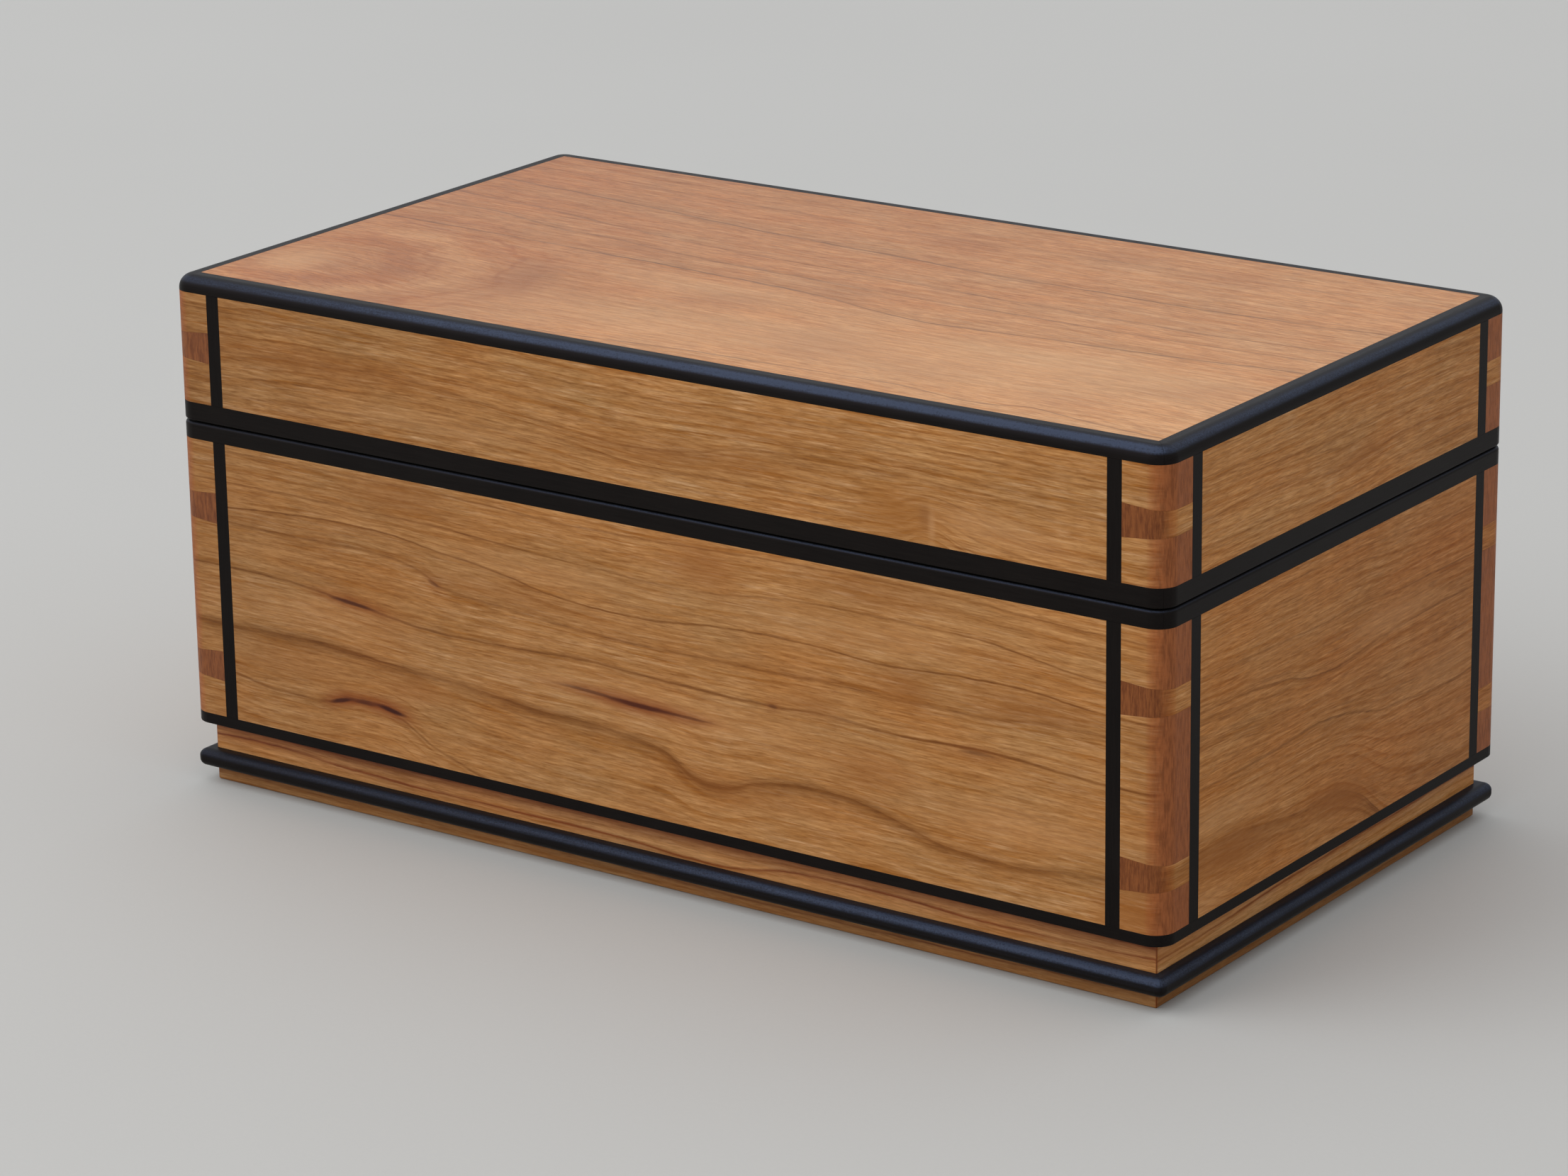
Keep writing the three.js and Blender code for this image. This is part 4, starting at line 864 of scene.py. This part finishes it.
def pin_board(name, s, z0, z1, rebate):
    if s > 0:
        plan = [(IX, -HY)] + corner_arc(1, -1, 270, 360) + corner_arc(1, 1, 0, 90) + [(IX, HY)]
    else:
        plan = [(-IX, HY)] + corner_arc(-1, 1, 90, 180) + corner_arc(-1, -1, 180, 270) + [(-IX, -HY)]
    o = new_object(name, *prism(plan, z0, z1))
    zs = [z for z in PIN_Z if z0 < z < z1]
    levels = [(z0 - 2, None)] + [(z, z) for z in zs] + [(z1 + 2, None)]
    cuts = []
    xi, xo = IX - 1, HX + 2
    for (low, pin_low), (high, pin_high) in zip(levels, levels[1:]):
        a = (low, low) if pin_low is None else (low + pin_half(xi, 0), low + pin_half(xo, 0))
        b = (high, high) if pin_high is None else (high - pin_half(xi, 0), high - pin_half(xo, 0))
        outline = [(s * xi, a[0]), (s * xo, a[1]), (s * xo, b[1]), (s * xi, b[0])]
        for sy in (-1, 1):
            c, d = sorted((sy * (IY - GAP), sy * (HY + 2)))
            cuts.append(prism(outline, c, d, "xzy"))
    boolean(o, together(*cuts))
    boolean(o, grooves(z0 - 1, z1 + 1))
    if rebate:
        e = BASE_STRING_D + GAP
        u = [(s * (IX - 1), -HY - 2), (s * (HX + 2), -HY - 2), (s * (HX + 2), HY + 2), (s * (IX - 1), HY + 2), (s * (IX - 1), HY - e), (s * (HX - e), HY - e), (s * (HX - e), -HY + e), (s * (IX - 1), -HY + e)]
        boolean(o, prism(u, z0 - 1, BASE_STRING_TOP))
    return o


for prefix, body, z0, z1, rebate in (("box", "box", PLINTH_TOP, BOX_WOOD_TOP - 0.02, True), ("lid", "lid", LID_RIM_TOP, LID_WOOD_TOP - 0.02, False)):
    for side, s in (("front", -1), ("back", 1)):
        node = prefix + "_board_" + side
        o = tail_board(node + "_fine", s, z0, z1, rebate)
        if side == "back":
            boolean(o, together(*screw_holes(*((81.0, 90.0) if prefix == "box" else (97.0, 105.0)), (-1, 1))))
        piece(o, cherry[prefix + "_" + side], body, "cherry", node)
    for side, s in (("left", -1), ("right", 1)):
        node = prefix + "_board_" + side
        piece(pin_board(node + "_fine", s, z0, z1, rebate), cherry[prefix + "_" + side], body, "cherry", node)


# ------------------------------------------------------------------ the lining, its upper arrises eased
for side in SIDES:
    low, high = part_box("liner_" + side)
    low, high = low / MM, high / MM
    o = new_object("liner_" + side + "_fine", *block(low.x, high.x, low.y, high.y, low.z, high.z))
    long_axis = 0 if ALONG[side] == "x" else 1
    soften(o, lambda e, m: m.z > high.z - 0.01 and abs((e.verts[0].co - e.verts[1].co)[long_axis]) > 0.01, 0.9, 4)
    piece(o, CEDAR[ALONG[side]], "box", "cedar", "liner_" + side)


# ------------------------------------------------------------------ hinges
def leaf(name, x, s):
    """One leaf: plate with a bevelled heel, its knuckles, the bore for the pin, two countersunk holes."""
    za, zb = 0.2, 0.2 + LEAF_T
    run = 1 / math.tan(math.radians(48.5))
    outline = [(AXIS_Y - LEAF_DEPTH, AXIS_Z + s * za), (AXIS_Y + za * run, AXIS_Z + s * za), (AXIS_Y + zb * run, AXIS_Z + s * zb), (AXIS_Y - LEAF_DEPTH, AXIS_Z + s * zb)]
    o = new_object(name, *prism(outline, x - LEAF_HALF, x + LEAF_HALF, "yzx"))
    end = BARREL_HALF + 0.7
    boolean(o, block(x - end, x + end, AXIS_Y - 0.3, AXIS_Y + 4, AXIS_Z - 4, AXIS_Z + 4))
    clear = 0.15
    if s > 0:
        own = [(-MIDDLE_HALF, MIDDLE_HALF)]
        other = [(-end, -MIDDLE_HALF - clear), (MIDDLE_HALF + clear, end)]
    else:
        own = [(-BARREL_HALF, -MIDDLE_HALF - 0.3), (MIDDLE_HALF + 0.3, BARREL_HALF)]
        other = [(-MIDDLE_HALF - clear, MIDDLE_HALF + clear), (-end, -BARREL_HALF), (BARREL_HALF, end)]
    for a, b in other:
        boolean(o, rod(KNUCKLE_R + clear, x + a, x + b, AXIS_Y, AXIS_Z))
    for a, b in own:
        boolean(o, rod(KNUCKLE_R, x + a, x + b, AXIS_Y, AXIS_Z), "UNION")
    boolean(o, rod(1.06, x - end - 1, x + end + 1, AXIS_Y, AXIS_Z, 40))
    for t in (-1, 1):
        face, far = AXIS_Z + s * za, AXIS_Z + s * zb
        sunk = [(0, face - s), (2.05 + 0.75, face - s), (2.05, face), (1.0, far - s * 0.35), (1.0, far + s), (0, far + s)]
        boolean(o, turned(sunk, x + t * SCREW_X, AXIS_Y - SCREW_Y))
    return o


def screw(name, x, s):
    """A slotted countersunk wood screw, its head just under the leaf's face, its shank tapered into the wood."""
    face = AXIS_Z + s * 0.2
    y = AXIS_Y - SCREW_Y
    body = [(0, face + s * 0.06), (1.70, face + s * 0.06), (1.92, face + s * 0.12), (0.92, face + s * 1.12), (0.90, face + s * 3.2)]
    z, r = 3.2, 0.9
    while z < 9.6:
        body += [(r, face + s * (z + 0.25)), (r - 0.26, face + s * (z + 0.42)), (r - 0.26, face + s * (z + 0.58))]
        z += 0.8
        r -= 0.055
        body.append((r, face + s * z))
    body += [(0.0, face + s * (z + 0.5))]
    o = new_object(name, *turned(body, x, y, 36))
    z0, z1 = sorted((face - s, face + s * 0.5))
    boolean(o, block(x - 2.4, x + 2.4, y - 0.25, y + 0.25, z0, z1))
    return o


for hinge, x in HINGE_X.items():
    for part, s, body in (("lid", 1, "lid"), ("box", -1, "box")):
        piece(leaf(hinge + "_" + part + "_leaf_fine", x, s), BRASS, body, "brass", hinge + "_" + part + "_leaf", angle=28)
        for k, t in (("a", -1), ("b", 1)):
            piece(screw(hinge + "_" + part + "_screw_" + k, x + t * SCREW_X, s), BRASS, body, "brass", angle=28)
    half = BARREL_HALF + 0.3
    shape = [(0, -half)] + [(0.98 * math.sin(math.radians(a)), -half + 0.35 * (1 - math.cos(math.radians(a)))) for a in (20, 40, 60, 75, 90)]
    shape += [(r, -z) for r, z in reversed(shape[1:])] + [(0, half)]
    o = new_object(hinge + "_pin_fine", *turned(shape, 0, 0, 32))
    o.data.transform(Matrix.Rotation(math.pi / 2, 4, "Y"))
    o.data.transform(Matrix.Translation(Vector((x, AXIS_Y, AXIS_Z)) * MM))
    piece(o, BRASS, "box", "brass", hinge + "_pin")


# ------------------------------------------------------------------ CAD nodes that stay, with their finish
def finish_node(name, finish):
    o = NODES[name]
    if not o.material_slots:
        o.data.materials.append(finish)
    for slot in o.material_slots:
        slot.material = finish


finish_node("lid_top_panel", cherry["top"])
finish_node("bottom_panel", CEDAR["x"])
for name in NODES:
    if name.startswith(("lid_string_", "box_string_")):
        finish_node(name, EBONY["z"])


# ------------------------------------------------------------------ floor and light
def floor_finish():
    m, g, shader = material("floor_pale")
    coords = g.node("ShaderNodeTexCoord")
    cloud = g.noise(coords.outputs["Object"], 3.0, 3.0, 0.5)
    grain = g.noise(coords.outputs["Object"], 900.0, 2.0, 0.5)
    tone = g.add(g.mul(g.sub(cloud, 0.5), 0.5), g.mul(g.sub(grain, 0.5), 0.25), 0.5)
    g.put(shader.inputs["Base Color"], g.mix(tone, (0.50, 0.485, 0.455), (0.56, 0.545, 0.515)))
    shader.inputs["Roughness"].default_value = 0.85
    shader.inputs["Specular IOR Level"].default_value = 0.2
    return m


floor = new_object("floor", [(-40000, -40000, -0.02), (40000, -40000, -0.02), (40000, 40000, -0.02), (-40000, 40000, -0.02)], [[0, 1, 2, 3]])
floor.data.materials.append(floor_finish())

world = bpy.data.worlds.new("soft_sky")
scene.world = world
world.use_nodes = True
g = Graph(world.node_tree)
direction = g.split(g.node("ShaderNodeTexCoord").outputs["Generated"])
rise = g.fit(direction[2], -0.05, 1.0)
sky = g.node("ShaderNodeValToRGB")
ramp = sky.color_ramp
ramp.elements[0].position, ramp.elements[0].color = 0.0, (0.37, 0.38, 0.40, 1)
ramp.elements[1].position, ramp.elements[1].color = 1.0, (1.10, 1.13, 1.18, 1)
e = ramp.elements.new(0.35)
e.color = (0.74, 0.765, 0.80, 1)
g.put(sky.inputs[0], rise)
turned_away = g.add(g.mul(direction[0], -0.30), g.mul(direction[1], -0.12), 1.0)
lit = g.mix(1.0, sky.outputs[0], g.xyz(turned_away, turned_away, turned_away), "MULTIPLY")
shown = g.mix(g.node("ShaderNodeLightPath").outputs["Is Camera Ray"], lit, (0.50, 0.505, 0.51))
background = g.node("ShaderNodeBackground")
g.put(background.inputs[0], shown)
background.inputs[1].default_value = 1.0
out = g.node("ShaderNodeOutputWorld")
g.tree.links.new(background.outputs[0], out.inputs[0])


def softbox(name, place, target, size, power, colour):
    lamp = bpy.data.lights.new(name, "AREA")
    lamp.shape, lamp.size, lamp.size_y = "RECTANGLE", size[0], size[1]
    lamp.energy, lamp.color = power, colour
    o = bpy.data.objects.new(name, lamp)
    scene.collection.objects.link(o)
    o.location = place
    o.rotation_mode = "QUATERNION"
    o.rotation_quaternion = (Vector(target) - Vector(place)).to_track_quat("-Z", "Y")
    return o


softbox("key", (-1.1, -1.3, 1.6), (0, 0, 0.06), (1.6, 1.2), 10.0, (0.96, 0.98, 1.0))

scene.view_settings.view_transform = "Standard"
scene.view_settings.look = "None"
scene.view_settings.exposure = 0.0
scene.view_settings.gamma = 1.0
